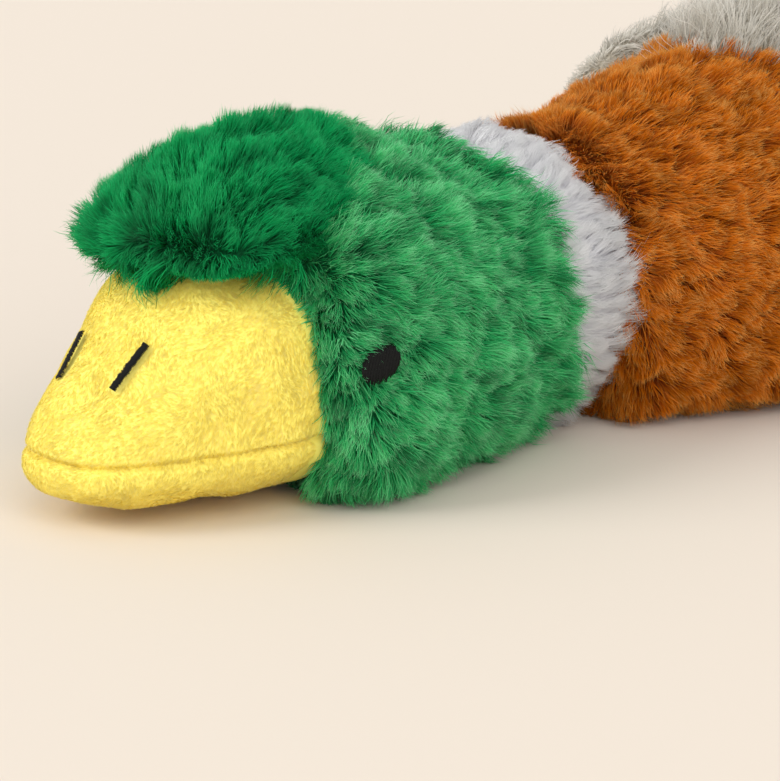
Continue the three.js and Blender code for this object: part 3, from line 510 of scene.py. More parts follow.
def fur(name, shell, material, seed, flow, wanted, per_cm2, length, lean, width, tuft, gather,
        segments=3, ruffle=0.35, patch=14, lift=9, own_share=0.28, stray=0.12, hollow_shade=None):
    """Pile over a shell, in pieces small enough to handle. Lengths are in mm, lean in degrees.
    The last argument is 1 in hollows and creases, where the fibres' tint is darkened: painted
    shade."""
    rng = np.random.default_rng(seed)
    points, normals = scattered(shell, per_cm2, rng, wanted)
    count = len(points)
    wave, rise, grow = Waves(seed + 1, 16), Waves(seed + 2, 9), Waves(seed + 3, 9)
    way = along_skin(flow(points, normals), normals)
    way = turned(way, normals, ruffle * wave(points) + rng.normal(size=count) * TURN_SPREAD)
    size = length(points) if callable(length) else np.full(count, float(length))
    size = size * MM * (1 + LENGTH_SPREAD * grow(points)) * rng.uniform(*LENGTH_RANGE, count)
    tilt = lean(points, normals) if callable(lean) else lean
    shift = np.radians(lift * rise(points) + rng.normal(size=count) * LEAN_SPREAD)
    tilt = [np.clip(np.radians(t) + shift, 0.05, 1.65) for t in tilt]
    tufts, locks = (tuft_of(points, spacing * MM, rng) for spacing in tuft)
    pull = [np.clip(g + rng.normal(size=count) * PULL_SPREAD, 0, 0.97) for g in gather]
    groups = list(zip((tufts, locks), pull))
    path = fibre_paths(points, normals, way, size, tilt, segments, groups, rng)
    shade = Waves(seed + 4, patch)(points)
    tint = np.clip(0.5 + TUFT_TONE * rng.normal(size=tufts.max() + 1)[tufts] + PATCH_TONE * shade
                   + LOCK_TONE * rng.normal(size=locks.max() + 1)[locks]
                   + stray * rng.normal(size=count), 0, 1)
    # Painted shade: the tint is darkened in hollows and creases
    if hollow_shade is not None:
        tint *= 1 - 0.75 * hollow_shade(points)
    order = np.argsort(points[:, 1], kind="stable")
    parts = max(1, math.ceil(count * (2 * segments - 1) / FACES_A_PIECE))
    made = []
    for i, rows in enumerate(np.array_split(order, parts)):
        widths = width * MM * rng.uniform(*WIDTH_RANGE, len(rows))
        made.append(fur_object(f"{name}_{i + 1}", path[:, rows], normals[rows], widths, tint[rows],
                               own_share, material, rng))
    return made


def steady(way):
    """A flow that is the same all over."""
    return lambda points, normals: np.tile(way, (len(points), 1))


# Kinds of pile that more than one part has
FINE_UNDERCOAT = dict(per_cm2=110, length=6.5, lean=(20, 62), width=0.34, tuft=(1.6, 5.0),
                      gather=(0.3, 0.2), segments=2)
BROWN_PILE = dict(per_cm2=440, width=0.2, tuft=(2.1, 5.6), gather=(0.52, 0.42), lift=16)
GREY_UNDERCOAT = dict(width=0.34, tuft=(2.0, 6.0), gather=(0.4, 0.3))
GREY_LONG_PILE = dict(width=0.24, tuft=(2.4, 8.0), gather=(0.3, 0.35), segments=4, ruffle=0.7)
MINKY_PILE = dict(tuft=(0.9, 2.6), segments=2, ruffle=0.6)

# Materials


def shader(name):
    material = bpy.data.materials.new(name)
    material.use_nodes = True
    tree = material.node_tree
    return material, tree, tree.nodes["Principled BSDF"]


def linear(rgb):
    return [c / 255 / 12.92 if c <= 10 else ((c / 255 + 0.055) / 1.055) ** 2.4 for c in rgb]


def feed(tree, node, values):
    """Sets a node's inputs: each value is an output to link, a number or a linear colour."""
    for key, value in values.items():
        if isinstance(value, bpy.types.NodeSocket):
            tree.links.new(value, node.inputs[key])
        else:
            node.inputs[key].default_value = value if isinstance(value, float) else (*value, 1)
    return node


def new_node(tree, kind, values):
    return feed(tree, tree.nodes.new(kind), values)


def ramp(tree, factor, stops):
    node = new_node(tree, "ShaderNodeValToRGB", {0: factor})
    elements = node.color_ramp.elements
    while len(elements) < len(stops):
        elements.new(0.5)
    for element, (place, rgb) in zip(elements, stops):
        element.position = place
        element.color = (*linear(rgb), 1)
    return node.outputs[0]


def mixed(tree, kind, factor, first, second):
    node = tree.nodes.new("ShaderNodeMix")
    node.data_type = "RGBA"
    node.blend_type = kind
    return feed(tree, node, {0: factor, 6: first, 7: second}).outputs[2]


def attribute(tree, label):
    node = tree.nodes.new("ShaderNodeAttribute")
    node.attribute_name = label
    return node.outputs["Fac"]


def pile_material(name, root, middle, tip, pale, roughness=0.6, sheen=0.12, through=0.35, dim=200,
                  painted_glint=150):
    """Fibres of many tones, letting light through: darker at the root as painted shade, lighter at
    the tip as painted highlight.
    """
    material, tree, bsdf = shader(name)
    along, tint = attribute(tree, "tip"), attribute(tree, "tint")
    body = ramp(tree, along, [(0.0, root), (0.42, middle), (0.8, tip), (1.0, pale)])
    vary = ramp(tree, tint, [(0.1, (dim,) * 3), (0.55, (246,) * 3), (0.9, (255,) * 3)])
    # Painted glints: fibres of the highest tints are mixed towards the pale colour
    glint = ramp(tree, tint, [(0.68, (0, 0, 0)), (0.92, (painted_glint,) * 3)])
    toned = mixed(tree, "MULTIPLY", 1.0, body, vary)
    colour = mixed(tree, "MIX", glint, toned, linear(pale))
    feed(tree, bsdf, {
        "Base Color": colour, "Roughness": roughness, "Specular IOR Level": 0.12,
        "Sheen Weight": sheen, "Sheen Roughness": 0.4, "Sheen Tint": linear(pale),
    })
    behind = new_node(tree, "ShaderNodeBsdfTranslucent", {"Color": colour})
    both = new_node(tree, "ShaderNodeMixShader",
                    {0: through, 1: bsdf.outputs[0], 2: behind.outputs[0]})
    tree.links.new(both.outputs[0], tree.nodes["Material Output"].inputs["Surface"])
    return material


def backing_material(name, colour, dark, grain=0.0012, depth=0.4, roughness=0.9):
    """The knitted backing and the roots of the pile on it."""
    material, tree, bsdf = shader(name)
    where = tree.nodes.new("ShaderNodeTexCoord").outputs["Object"]
    noise = new_node(tree, "ShaderNodeTexNoise",
                     {"Scale": 1 / grain, "Detail": 4.0, "Vector": where}).outputs[0]
    knit = new_node(tree, "ShaderNodeBump",
                    {"Strength": depth, "Distance": 0.5 * MM, "Height": noise}).outputs[0]
    feed(tree, bsdf, {
        "Base Color": ramp(tree, noise, [(0.3, dark), (0.7, colour)]), "Normal": knit,
        "Roughness": roughness, "Specular IOR Level": 0.2,
    })
    return material


# Each pile darkens towards its root as painted shade and pales towards its tip as painted
# highlight
GREEN = pile_material("green_pile", (0, 96, 50), (28, 176, 98), (78, 210, 128), (166, 242, 186),
                      sheen=0.3, dim=160)
CREST = pile_material("crest_pile", (0, 88, 46), (0, 158, 84), (6, 178, 98), (60, 204, 126),
                      painted_glint=100, sheen=0.25, dim=180)
BROWN = pile_material("brown_pile", (108, 40, 0), (188, 88, 0), (228, 128, 2), (255, 202, 112),
                      painted_glint=125, sheen=0.8)
WHITE = pile_material("white_pile", (252, 252, 255), (254, 254, 255), (255, 255, 255),
                      (255, 255, 255), through=0.7, dim=253, sheen=0.9)
GREY = pile_material("grey_pile", (184, 176, 160), (224, 218, 205), (240, 236, 226),
                     (248, 246, 240), through=0.45)
YELLOW = pile_material("yellow_pile", (250, 232, 92), (251, 236, 116), (252, 241, 144),
                       (253, 246, 182), roughness=0.75, sheen=0.3, dim=240)
# The green, crest, brown and grey backings are darker than their piles: painted shade of the
# pile's depths, which shows in its gaps
GREEN_BACK = backing_material("green_backing", (14, 112, 60), (4, 72, 38))
CREST_BACK = backing_material("crest_backing", (0, 100, 52), (0, 64, 34))
BROWN_BACK = backing_material("brown_backing", (136, 58, 2), (90, 36, 0))
WHITE_BACK = backing_material("white_backing", (250, 248, 252), (238, 236, 242))
GREY_BACK = backing_material("grey_backing", (184, 176, 160), (150, 142, 126))
YELLOW_BACK = backing_material("yellow_backing", (250, 236, 122), (250, 232, 108), grain=0.0006,
                               depth=0.1)
THREAD = backing_material("black_thread", (13, 14, 13), (4, 5, 4), grain=0.0004, roughness=0.6)

# Places of the stitched marks


def sewn_place(form, along, angles, is_past, facing, side):
    """A mark's middle on a form's skin, its way along the form, its way round it and its outward
    normal, which on the left side points up the axis that faces it."""
    ring = form.point(along, angles)
    i = np.argmax(is_past(ring))
    here = ring[i]
    ahead = unit(form.point(along + STEP, angles[i]) - here)
    round_it = unit(ring[i + 4] - ring[i - 4])
    out = unit(np.cross(ahead, round_it))
    return [v * (side, 1, 1) for v in (here, ahead, round_it, out * np.sign(out[facing]))]


def eye_place(side):
    return sewn_place(head, head.along_at(86 * MM), np.linspace(0, math.pi, 2001),
                      lambda ring: ring[:, 2] < 39.5 * MM, 0, side)


def nostril_place(side):
    """The pair stands a little to the duck's right of the bill's middle."""
    return sewn_place(bill, bill.along_at(49 * MM), np.linspace(0, math.pi / 2, 2001),
                      lambda ring: ring[:, 0] > (11.8 - side * 2.2) * MM, 2, side)


# Head

MOUTH_CORNER = np.array([33.5, -206, 64]) * MM
UNDER_EYE = np.array([50.7, -197, 37.5]) * MM
# The groove that runs from the cheek's front under the eye and back
GROOVE = np.array([
    (42, -208, 29), (46, -204, 30), (50, -199, 33), (51.7, -190, 37), (51.7, -179, 35),
    (50.5, -166, 30),
]) * MM
# The padding's folds, each as a height, a middle on the left side and a size in mm: the eye's
# hollow, the cheek below it, the brow over it and the hollow at the forelock's corner
FOLDS = (
    (-1.6, (50, -196, 40), 6), (2.2, (49, -192, 17), 15), (1.6, (50, -178, 56), 16),
    (-2.2, (32, -204, 60), 7),
)


def groove_gap(points):
    """The distance to the groove."""
    here = on_left(points)
    best = np.full(len(points), np.inf)
    for a, b in zip(GROOVE[:-1], GROOVE[1:]):
        way = b - a
        share = np.clip((here - a) @ way / (way @ way), 0, 1)
        best = np.minimum(best, length_of(here - a - share[:, None] * way))
    return best


def crown_rear(points):
    """1 on the top of the head's rear, where the pile lies flat."""
    return fade(points[:, 2], 62, 16) * fade(points[:, 1], -168, 16)


def head_relief(points):
    """The folds and dents of the head's padding, in mm."""
    left = on_left(points)
    return (-5.4 * bell(groove_gap(points), 4.4)
            + sum(height * blob(left, centre, size) for height, centre, size in FOLDS)
            - 2.4 * crown_rear(points)
            + 0.8 * Waves(17, 30)(points) + 0.35 * Waves(18, 14)(points))


def head_hollow_shade(points):
    """Painted shade in the groove under the eye, the hollow behind it and the crevice by the
    forelock.
    """
    left = on_left(points)
    groove = 0.8 * bell(groove_gap(points), 3.2)
    hollow, crevice = blob(left, (51, -187, 42), 5), blob(left, (32, -206, 62), 6)
    return np.clip(groove + 0.7 * hollow + crevice, 0, 1)


def head_flow(points, normals):
    """Back and down the cheek from the corner of the forelock and the bill, and fanning out below
    the groove under the eye."""
    left = on_left(points)
    away, fan = left - MOUTH_CORNER, left - UNDER_EYE
    near = np.exp(-length_of(away) / (45 * MM))[:, None]
    upper = unit(away) * (0.25 + near) + np.array([0.0, 1.0, -0.28]) * (1.0 - 0.75 * near)
    level = np.interp(left[:, 1], GROOVE[:, 1], GROOVE[:, 2])
    under = soft_step(level - left[:, 2], 1.6) * fade(left[:, 1], -145, -25)
    far = fade(length_of(fan), 0, 45)[:, None]
    lower = unit(fan) + np.array([0.0, 0.25, -0.35]) + np.array([0.0, 0.6, 0.1]) * far
    return sided(between(upper, lower, under), points)


def rim_gap(points):
    """The distance ahead of the head's rim at the collar."""
    return -(points - NECK) @ NECK_AXIS - COLLAR_HALF


def at_rim(points):
    return fade(rim_gap(points), 16, -16)


def head_length(points):
    """Longer at the rim, low down and under the chin; shorter round the eye and in the folds."""
    left = on_left(points)
    off = left - eye_place(1)[0]
    high = points[:, 2]
    low, under, rim = fade(high, 46, -40), fade(high, 18, -18), at_rim(points)
    front = np.maximum(fade(points[:, 1], -205, 18), under)
    beside = fade(high, 40, 14) * fade(high, 80, -12)
    full = 9.6 + 1.4 * low + 2.4 * under * (1 - rim) + (5.5 + 5 * beside) * rim * (1 - under)
    full = full - 3 * crown_rear(points)
    corner = length_of(left - MOUTH_CORNER) / (10 * MM)
    full = full * np.clip(0.5 + 0.5 * corner, 0.5, 1)
    full = full * (1 - 0.3 * bell(groove_gap(points), 3))
    least = 0.4 + 0.38 * fade(off[:, 2] - off[:, 1], 0, 5)
    eye = np.clip(least + 0.58 * (length_of(off) / (12 * MM) - 0.3), least, 1)
    return full * eye * (0.66 + 0.34 * front) * (1 - 0.45 * rim * under)


def head_lean(points, normals):
    rim, flat = at_rim(points), crown_rear(points)
    under = fade(points[:, 2], 14, -14) * (1 - rim)
    return [22 + 30 * rim - 12 * under + 14 * flat, 74 + 13 * rim - 38 * under + 10 * flat]


def in_socket(points):
    return length_of(points - NECK) < BALL_RADIUS + 1.5 * MM


def head_wanted(points, normals):
    hidden = (bill.depth(points) < BILL_COVER) | (forelock.depth(points) < FORELOCK_COVER)
    here, ahead, down, _ = eye_place(1)
    off = on_left(points) - here
    eyes = ((off @ ahead / (3.2 * MM)) ** 2 + (off @ down / (2.6 * MM)) ** 2 < 1) & (
        length_of(off) < 12 * MM)
    return ~(hidden | in_socket(points) | eyes)


def make_head():
    skin = necked_shell(head, -1, 90, 128)
    off_rim = rim_gap(skin.points) > 4 * MM
    skin.moved(head_relief(skin.points) * MM * off_rim).resting(SKIN_REST)
    body = shell_object("head_skin", skin, GREEN_BACK)
    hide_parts("head_left_panel", "head_right_panel", "head_crown_gusset", "head_stuffing")
    made = [body]
    made += fur("head_pile", skin, GREEN, 11, head_flow, head_wanted, per_cm2=540,
                length=head_length, lean=head_lean, width=0.19, tuft=(2.0, 5.4),
                gather=(0.46, 0.42), lift=17, patch=9, stray=0.16, own_share=0.36,
                hollow_shade=head_hollow_shade)
    made += fur("head_undercoat", skin, GREEN, 12, head_flow, head_wanted, **FINE_UNDERCOAT)
    for piece in made:
        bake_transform(piece)


# Forelock

CREASE_LEVEL = 67 * MM
# The right end of the crease, from which the pile fans out to the side
FAN = np.array([-4, -231, 61]) * MM
# Where the forelock's own pile ends and the crown's begins: distance off centre and place along Y
CREST_REAR = np.array([(0, -171), (15, -177), (29, -190), (33.6, -195), (37, -203)]) * MM
# The lock that hangs over the bill, and the sparse one at the crest's near corner: middle, size
# and share
LOCKS = (((1.5, -232, 59), (6.5, 5, 8), 1.0), ((34, -211, 63), (5, 6, 5), 0.22))


def above_crease(points, softness=1.5):
    return soft_step(points[:, 2] - CREASE_LEVEL, softness)


def behind_crest(points):
    """From 0 on the forelock's own pile to 1 on the crown's."""
    edge = np.interp(np.abs(points[:, 0]), CREST_REAR[:, 0], CREST_REAR[:, 1])
    return fade(points[:, 1] - edge + 2 * MM * Waves(24, 8)(points), -2, 4)


def fanned(points):
    return fade(FAN[0] - points[:, 0], 0, 10) * fade(points[:, 1], -200, -15)


def forelock_flow(points, normals):
    """Up and out from the crease over the bill, down below it, and out to the side at its end."""
    front = fade(points[:, 1], -190, -30)
    across = np.clip(points[:, 0] / (30 * MM), -1, 1)
    up = np.stack([0.9 * across, 0.45 - 0.55 * front, 0.6 + 0.3 * front], -1)
    down = np.stack([0.3 * across, -0.3 + 0 * across, -1 + 0 * across], -1)
    way = between(down, up, above_crease(points))
    return between(way, 1.2 * unit(points - FAN), fanned(points))


def forelock_lean(points, normals):
    side = fanned(points)
    below = (1 - above_crease(points)) * (1 - side)
    return [12 + 22 * below + 12 * side, 40 + 34 * below + 16 * side]


def forelock_length(points):
    side = fanned(points)
    return 4.6 + 3.4 * np.maximum(above_crease(points, 2), side) + 2.4 * side


def forelock_wanted(points, normals):
    hidden = (head.depth(points) < CREST_SEAT) | (bill.depth(points) < BILL_COVER)
    return np.where(hidden, 0, 1 - behind_crest(points))


# Painted shade along the forelock's crease, except where its pile fans out to the side
def forelock_crease_shade(points):
    return 0.6 * bell(points[:, 2] - CREASE_LEVEL, 3) * (1 - fanned(points))


def lock_wanted(points, normals):
    near = sum(share * blob(points, place, size) for place, size, share in LOCKS)
    return np.clip(near, 0, 1) * (normals[:, 2] < 0.3)


def crown_wanted(points, normals):
    return np.where(head.depth(points) < CREST_SEAT, 0, behind_crest(points))


def crown_flow(points, normals):
    return head_flow(points, normals) + np.array([0, 0.6, 0.2])


def make_forelock():
    skin = closed(form_grid(forelock, 48, 64, 0.01, 0.99))
    skin.points[:, 2] -= 2.6 * MM * fanned(skin.points)
    skin.moved(2.4 * MM * fade(skin.points[:, 1], -205, -25) - FUR_INSET)
    body = shell_object("forelock_skin", skin, CREST_BACK)
    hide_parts("forelock")
    made = [body]
    made += fur("forelock_pile", skin, CREST, 21, forelock_flow, forelock_wanted, per_cm2=760,
                length=forelock_length, lean=forelock_lean, width=0.19, tuft=(1.8, 4.6),
                gather=(0.5, 0.36), hollow_shade=forelock_crease_shade)
    made += fur("forelock_lock", skin, CREST, 23, steady([-0.2, 0.1, -1.0]), lock_wanted,
                per_cm2=2600, length=17, lean=(30, 80), width=0.2, tuft=(2.4, 11.0),
                gather=(0.55, 0.42), lift=4)
    crown = fur("crown_pile", skin, GREEN, 22, crown_flow, crown_wanted, per_cm2=600, length=9,
                lean=(20, 70), width=0.19, tuft=(2.0, 5.4), gather=(0.5, 0.4), lift=12)
    for piece in made + crown:
        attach(piece, "head")


# Bill

SEAM_AT_CHEEK, SEAM_AT_TIP = 20.5 * MM, 16.5 * MM


def seam_gap(points):
    """Height over the mouth seam."""
    rear, tip = NECK[1] - 79 * MM, NECK[1] - 157 * MM
    share = (points[:, 1] - rear) / (tip - rear)
    return points[:, 2] - (SEAM_AT_CHEEK + (SEAM_AT_TIP - SEAM_AT_CHEEK) * share)


def bill_flow(points, normals):
    a, b = Waves(31, 26)(points), Waves(32, 26)(points)
    return np.stack([0.6 * a, 0.5 * b - 0.55, 0.4 * a - 0.75], -1)


def bill_wanted(points, normals):
    covered = (head.depth(points) < BILL_SEAT) | (forelock.depth(points) < FORELOCK_COVER)
    for side in (1, -1):
        here, ahead, across, _ = nostril_place(side)
        off = points - here
        covered |= (np.abs(off @ ahead) < 7.2 * MM) & (np.abs(off @ across) < 1.3 * MM) & (
            length_of(off) < 10 * MM)
    return ~covered


def brush_marks(points):
    """Short dents along the nap, in two directions, as fingers leave them in short pile, in mm."""
    share = np.clip(0.5 + Waves(36, 24)(points), 0, 1)
    marks = 0
    for seed, way, part in ((37, (0.3, -0.5, -0.8), share), (38, (0.75, 0.35, -0.55), 1 - share)):
        way = unit(np.array(way))
        squashed = points - 0.86 * np.outer(points @ way, way)
        marks = marks + part * np.clip(Waves(seed, 2.2, 24)(squashed) - 0.35, 0, 1.3)
    return -(0.02 + 0.1 * fade(points[:, 0], -2, 26)) * marks


def bill_relief(points):
    """The mouth seam with the lip below it, and dents towards the tip, in mm."""
    gap = seam_gap(points)
    groove = -1.7 * bell(gap, 0.9) + 0.9 * bell(gap + 4.5 * MM, 3.4)
    dents = Waves(33, 14)(points) * 0.2 + Waves(34, 30)(points) * 0.35
    return groove + dents * fade(points[:, 1], -200, -20)


def make_bill():
    skin = closed(form_grid(bill, 240, 400, 0.005, 0.995)).moved(-MINKY_INSET)
    skin.moved(bill_relief(skin.points) * MM)
    skin.moved(brush_marks(skin.points) * MM).resting(MINKY_REST)
    body = shell_object("bill_skin", skin, YELLOW_BACK)
    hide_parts("bill_upper_panel", "bill_lower_panel", "bill_stuffing")
    made = [body]
    made += fur("bill_pile", skin, YELLOW, 35, bill_flow, bill_wanted, per_cm2=620, length=1.3,
                lean=(64, 84), width=0.15, gather=(0.12, 0.2), lift=4, own_share=0.02, stray=0.05,
                **MINKY_PILE)
    for piece in made:
        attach(piece, "head")


# Embroidery: satin stitches side by side over a small patch


def satin(name, place, depth, count, half_length, half_width, rise, node):
    """Threads laid across a patch, each a low arch; half_width(share) is the patch's outline."""
    here, ahead, across, out = place
    here = here - out * depth * MM
    rng = np.random.default_rng(int(abs(here[1]) * 1e6) % 1000)
    pitch = 2 * half_length / count
    turn = angles_round(6)[:, None]
    round_it = np.cos(turn) * ahead + 0.7 * np.sin(turn) * out
    threads = []
    for i in range(count):
        share = (i + 0.5) / count * 2 - 1
        reach = half_width(share) * rng.uniform(0.93, 1.07)
        centre = here + ahead * share * half_length + across * rng.normal() * 0.12 * MM
        rings = []
        for s in np.linspace(-1, 1, 7):
            arch = math.sqrt(max(1 - s**4, 0.02))
            middle = centre + across * s * reach + out * rise * (0.4 + 0.6 * arch)
            rings.append(middle + pitch * 0.62 * (0.55 + 0.45 * arch) * round_it)
        shell = closed(np.array(rings))
        base = i * len(shell.points)
        threads.append((shell.points, shell.quads + base, shell.fans + base))
    obj = mesh_object(name, *(np.concatenate(part) for part in zip(*threads)), THREAD)
    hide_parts(node)
    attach(obj, "head")


def make_stitching():
    for side, word in ((1, "left"), (-1, "right")):
        satin(f"nostril_{word}_stitches", nostril_place(side), 0.5, 34, 7 * MM,
              lambda share: 1.2 * MM, 0.7 * MM, f"nostril_{word}")
        satin(f"eye_{word}_stitches", eye_place(side), 2.2, 26, 5.5 * MM,
              lambda share: 4.5 * MM * math.sqrt(max(1 - share**2, 0.05)), 0.9 * MM, f"eye_{word}")


# Collar


def ball_shell(radius, rings, sides):
    polar = np.linspace(0.03, math.pi - 0.03, rings)[:, None, None]
    turn = angles_round(sides)[:, None]
    right = np.array([1.0, 0, 0])
    up = np.cross(right, NECK_AXIS)
    grid = NECK + radius * (np.cos(polar) * NECK_AXIS
                            + np.sin(polar) * (np.cos(turn) * right + np.sin(turn) * up))
    return Shell(grid, NECK + NECK_AXIS * radius, NECK - NECK_AXIS * radius)


def behind_neck(points):
    """The distance behind the middle of the collar."""
    return (points - NECK) @ NECK_AXIS


def collar_wanted(points, normals):
    return np.abs(behind_neck(points)) < COLLAR_HALF + 2 * MM


def collar_lean(points, normals):
    rear, low = fade(behind_neck(points), 0, 10), fade(points[:, 2], 22, -14)
    return [30 - 8 * rear - 6 * low, 72 - 2 * rear - 26 * low]


def collar_length(points):
    """Longer over the breast's front rim, but not at the top, where the brown pile covers it."""
    rear = fade(behind_neck(points), 0, 12)
    low, high = fade(points[:, 2], 22, -14), fade(points[:, 2], 46, 20)
    jags = 1 + 0.3 * rear * Waves(44, 7)(points)
    return (9 + (3.2 - 6.6 * high) * rear + 4 * low) * jags


def make_collar():
    skin = ball_shell(BALL_RADIUS + 1.3 * MM, 48, 72).resting(SKIN_REST)
    body = shell_object("collar_skin", skin, WHITE_BACK)
    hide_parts("collar", "neck_stuffing")
    made = [body]
    made += fur("collar_pile", skin, WHITE, 41, steady(NECK_AXIS), collar_wanted, per_cm2=450,
                length=collar_length, lean=collar_lean, width=0.24, tuft=(2.4, 6.0),
                gather=(0.62, 0.6), lift=10, own_share=0.1)
    for piece in made:
        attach(piece, "neck")


# Torso

EDGE_AT_BACK, EDGE_AT_BELLY, TORSO_TOP = 84 * MM, 94 * MM, 113 * MM
TORSO_SIDES = 112
ANKLE = np.array([63.3409, 45.75, 5.5]) * MM


def edge_gap(points):
    """How far a point lies behind the breast's rear edge."""
    share = (points[..., 2] + 5 * MM) / TORSO_TOP
    return points[..., 1] - NECK[1] - (EDGE_AT_BELLY + (EDGE_AT_BACK - EDGE_AT_BELLY) * share)


def breast_last():
    """The share along the torso at which the breast ends, for each angle round it."""
    share = np.linspace(0, 0.9, 1201)[:, None]
    behind = edge_gap(torso.point(share, angles_round(TORSO_SIDES))) > 0
    return share[np.argmax(behind, 0), 0]


def front_fringe(points):
    """1 at the breast's front rim at the top, where the pile fans forward over the collar."""
    gap = length_of(points - NECK) - BALL_RADIUS
    return fade(points[:, 2], 44, 18) * fade(gap, 10.8, -8)


def breast_flow(points, normals):
    side = fade(np.abs(points[:, 0]), 0, 60)
    outward = np.where(points[:, 0] < 0, -1.0, 1.0)
    turn = front_fringe(points)
    return np.stack([outward * (0.15 * side + 1.2 * turn * (1 - turn)), 1 - 2 * turn,
                     (-0.25 - 0.45 * side) * (1 - 0.6 * turn)], -1)


def overlap(points):
    """How far the brown pile reaches over the seam behind it: further down the flanks."""
    return 18 * MM * fade(np.abs(points[:, 0]), 5, 30) + 1.6 * MM * Waves(64, 9)(points)


def shoulder(points):
    """1 over the breast's front at the top, where the pile lies flat behind the collar."""
    return fade(points[:, 2], 52, 22) * fade(points[:, 1], -50, -22)


def breast_length(points):
    return 9 - 2.6 * shoulder(points) + 4.6 * front_fringe(points)


def breast_lean(points, normals):
    """The pile stands upright where its flow turns from back to forward."""
    fringe, flat = front_fringe(points), shoulder(points)
    upright = 4 * fringe * (1 - fringe)
    return [20 + 12 * flat - 4 * fringe - 12 * upright, 70 + 10 * flat - 6 * fringe - 22 * upright]


def breast_wanted(points, normals):
    return ~in_socket(points) & (edge_gap(points) < 1 * MM) & (points[:, 2] > PILE_FLOOR)


def make_breast():
    skin = necked_shell(torso, 1, 56, TORSO_SIDES, breast_last())
    inner = fade(edge_gap(skin.points), 0, -12) * ~in_socket(skin.points)
    skin.moved((0.6 * Waves(56, 15)(skin.points) - 1.5 * shoulder(skin.points)) * MM * inner)
    skin.resting(SKIN_REST)
    body = shell_object("breast_skin", skin, BROWN_BACK)
    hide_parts("breast_left_panel", "breast_right_panel", "torso_stuffing")
    made = [body]
    made += fur("breast_pile", skin, BROWN, 51, breast_flow, breast_wanted, length=breast_length,
                lean=breast_lean, **BROWN_PILE)
    made += fur("breast_undercoat", skin, BROWN, 52, breast_flow, breast_wanted, **FINE_UNDERCOAT)
    for piece in made:
        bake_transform(piece)


def back_flow(points, normals):
    side = np.clip(points[:, 0] / (60 * MM), -1, 1)
    return np.stack([0.35 * side, 1 + 0 * side, -0.3 * np.abs(side)], -1)


def clear_of_ankles(points):
    """Sparse pile where a foot swings past the flank."""
    return np.maximum(fade(length_of(on_left(points) - ANKLE), 13, 9), 0.1)


def back_wanted(points, normals):
    behind = (edge_gap(points) > overlap(points) + 0.5 * MM) & (points[:, 2] > PILE_FLOOR)
    return behind * clear_of_ankles(points)


def overlap_wanted(points, normals):
    return (edge_gap(points) < overlap(points) + 1 * MM) & (points[:, 2] > PILE_FLOOR)


def back_length(points):
    """Longest on the ridge behind the breast."""
    side, high = fade(np.abs(points[:, 0]), 0, 50), fade(points[:, 2], 12, 30)
    ridge = np.interp(points[:, 1], np.array([-26, 5, 35]) * MM, [16, 11, 6.5])
    return 8 + high * ((1 - side) * ridge + 3 * side)


def make_back():
    grid = form_grid(torso, 64, TORSO_SIDES, breast_last(), 0.998)
    skin = closed(inset_grid(grid, open_last=False)).resting(SKIN_REST)
    body = shell_object("back_skin", skin, GREY_BACK)
    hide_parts("back_left_panel", "back_right_panel", "belly_panel")
    made = [body]
    made += fur("back_undercoat", skin, GREY, 61, back_flow, back_wanted, per_cm2=110, length=7.5,
                lean=(25, 70), **GREY_UNDERCOAT)
    made += fur("back_pile", skin, GREY, 62, back_flow, back_wanted, per_cm2=60,
                length=back_length, lean=(14, 62), width=0.2, tuft=(2.4, 8.0), gather=(0.25, 0.3),
                segments=4, ruffle=0.8)
    brown = fur("breast_overlap_pile", skin, BROWN, 63, breast_flow, overlap_wanted, length=9,
                lean=(20, 70), **BROWN_PILE)
    brown += fur("breast_overlap_undercoat", skin, BROWN, 64, breast_flow, overlap_wanted,
                 **FINE_UNDERCOAT)
    for piece in made + brown:
        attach(piece, "torso")


# Wings: padded leaves on the flanks, as in the part's source, in mm

WING_LENGTH, WING_BREADTH, WING_THICKNESS, WING_EDGE = 112, 58, 18, 7
WING_SETBACK, WING_TIP_BREADTH = 96, 20
WING_TOP_ANGLE, WING_TIP_ANGLE = math.radians(40), math.radians(96)
# The skin's inset from the leaf's outline and from its outer face, the leaf's gap off the flank,
# the skin's inset on that side and its least thickness
WING_MARGIN, WING_INSET, WING_GAP, LINING_INSET, WING_LEAST = 3.5, 4.5, 1, 0.2, 1.5


def torso_skin_point(along, angle, height):
    here = torso.point(along, angle)
    ahead = torso.point(along + STEP, angle) - here
    round_it = torso.point(along, angle + STEP) - here
    return here - unit(np.cross(ahead, round_it)) * height[..., None] * MM


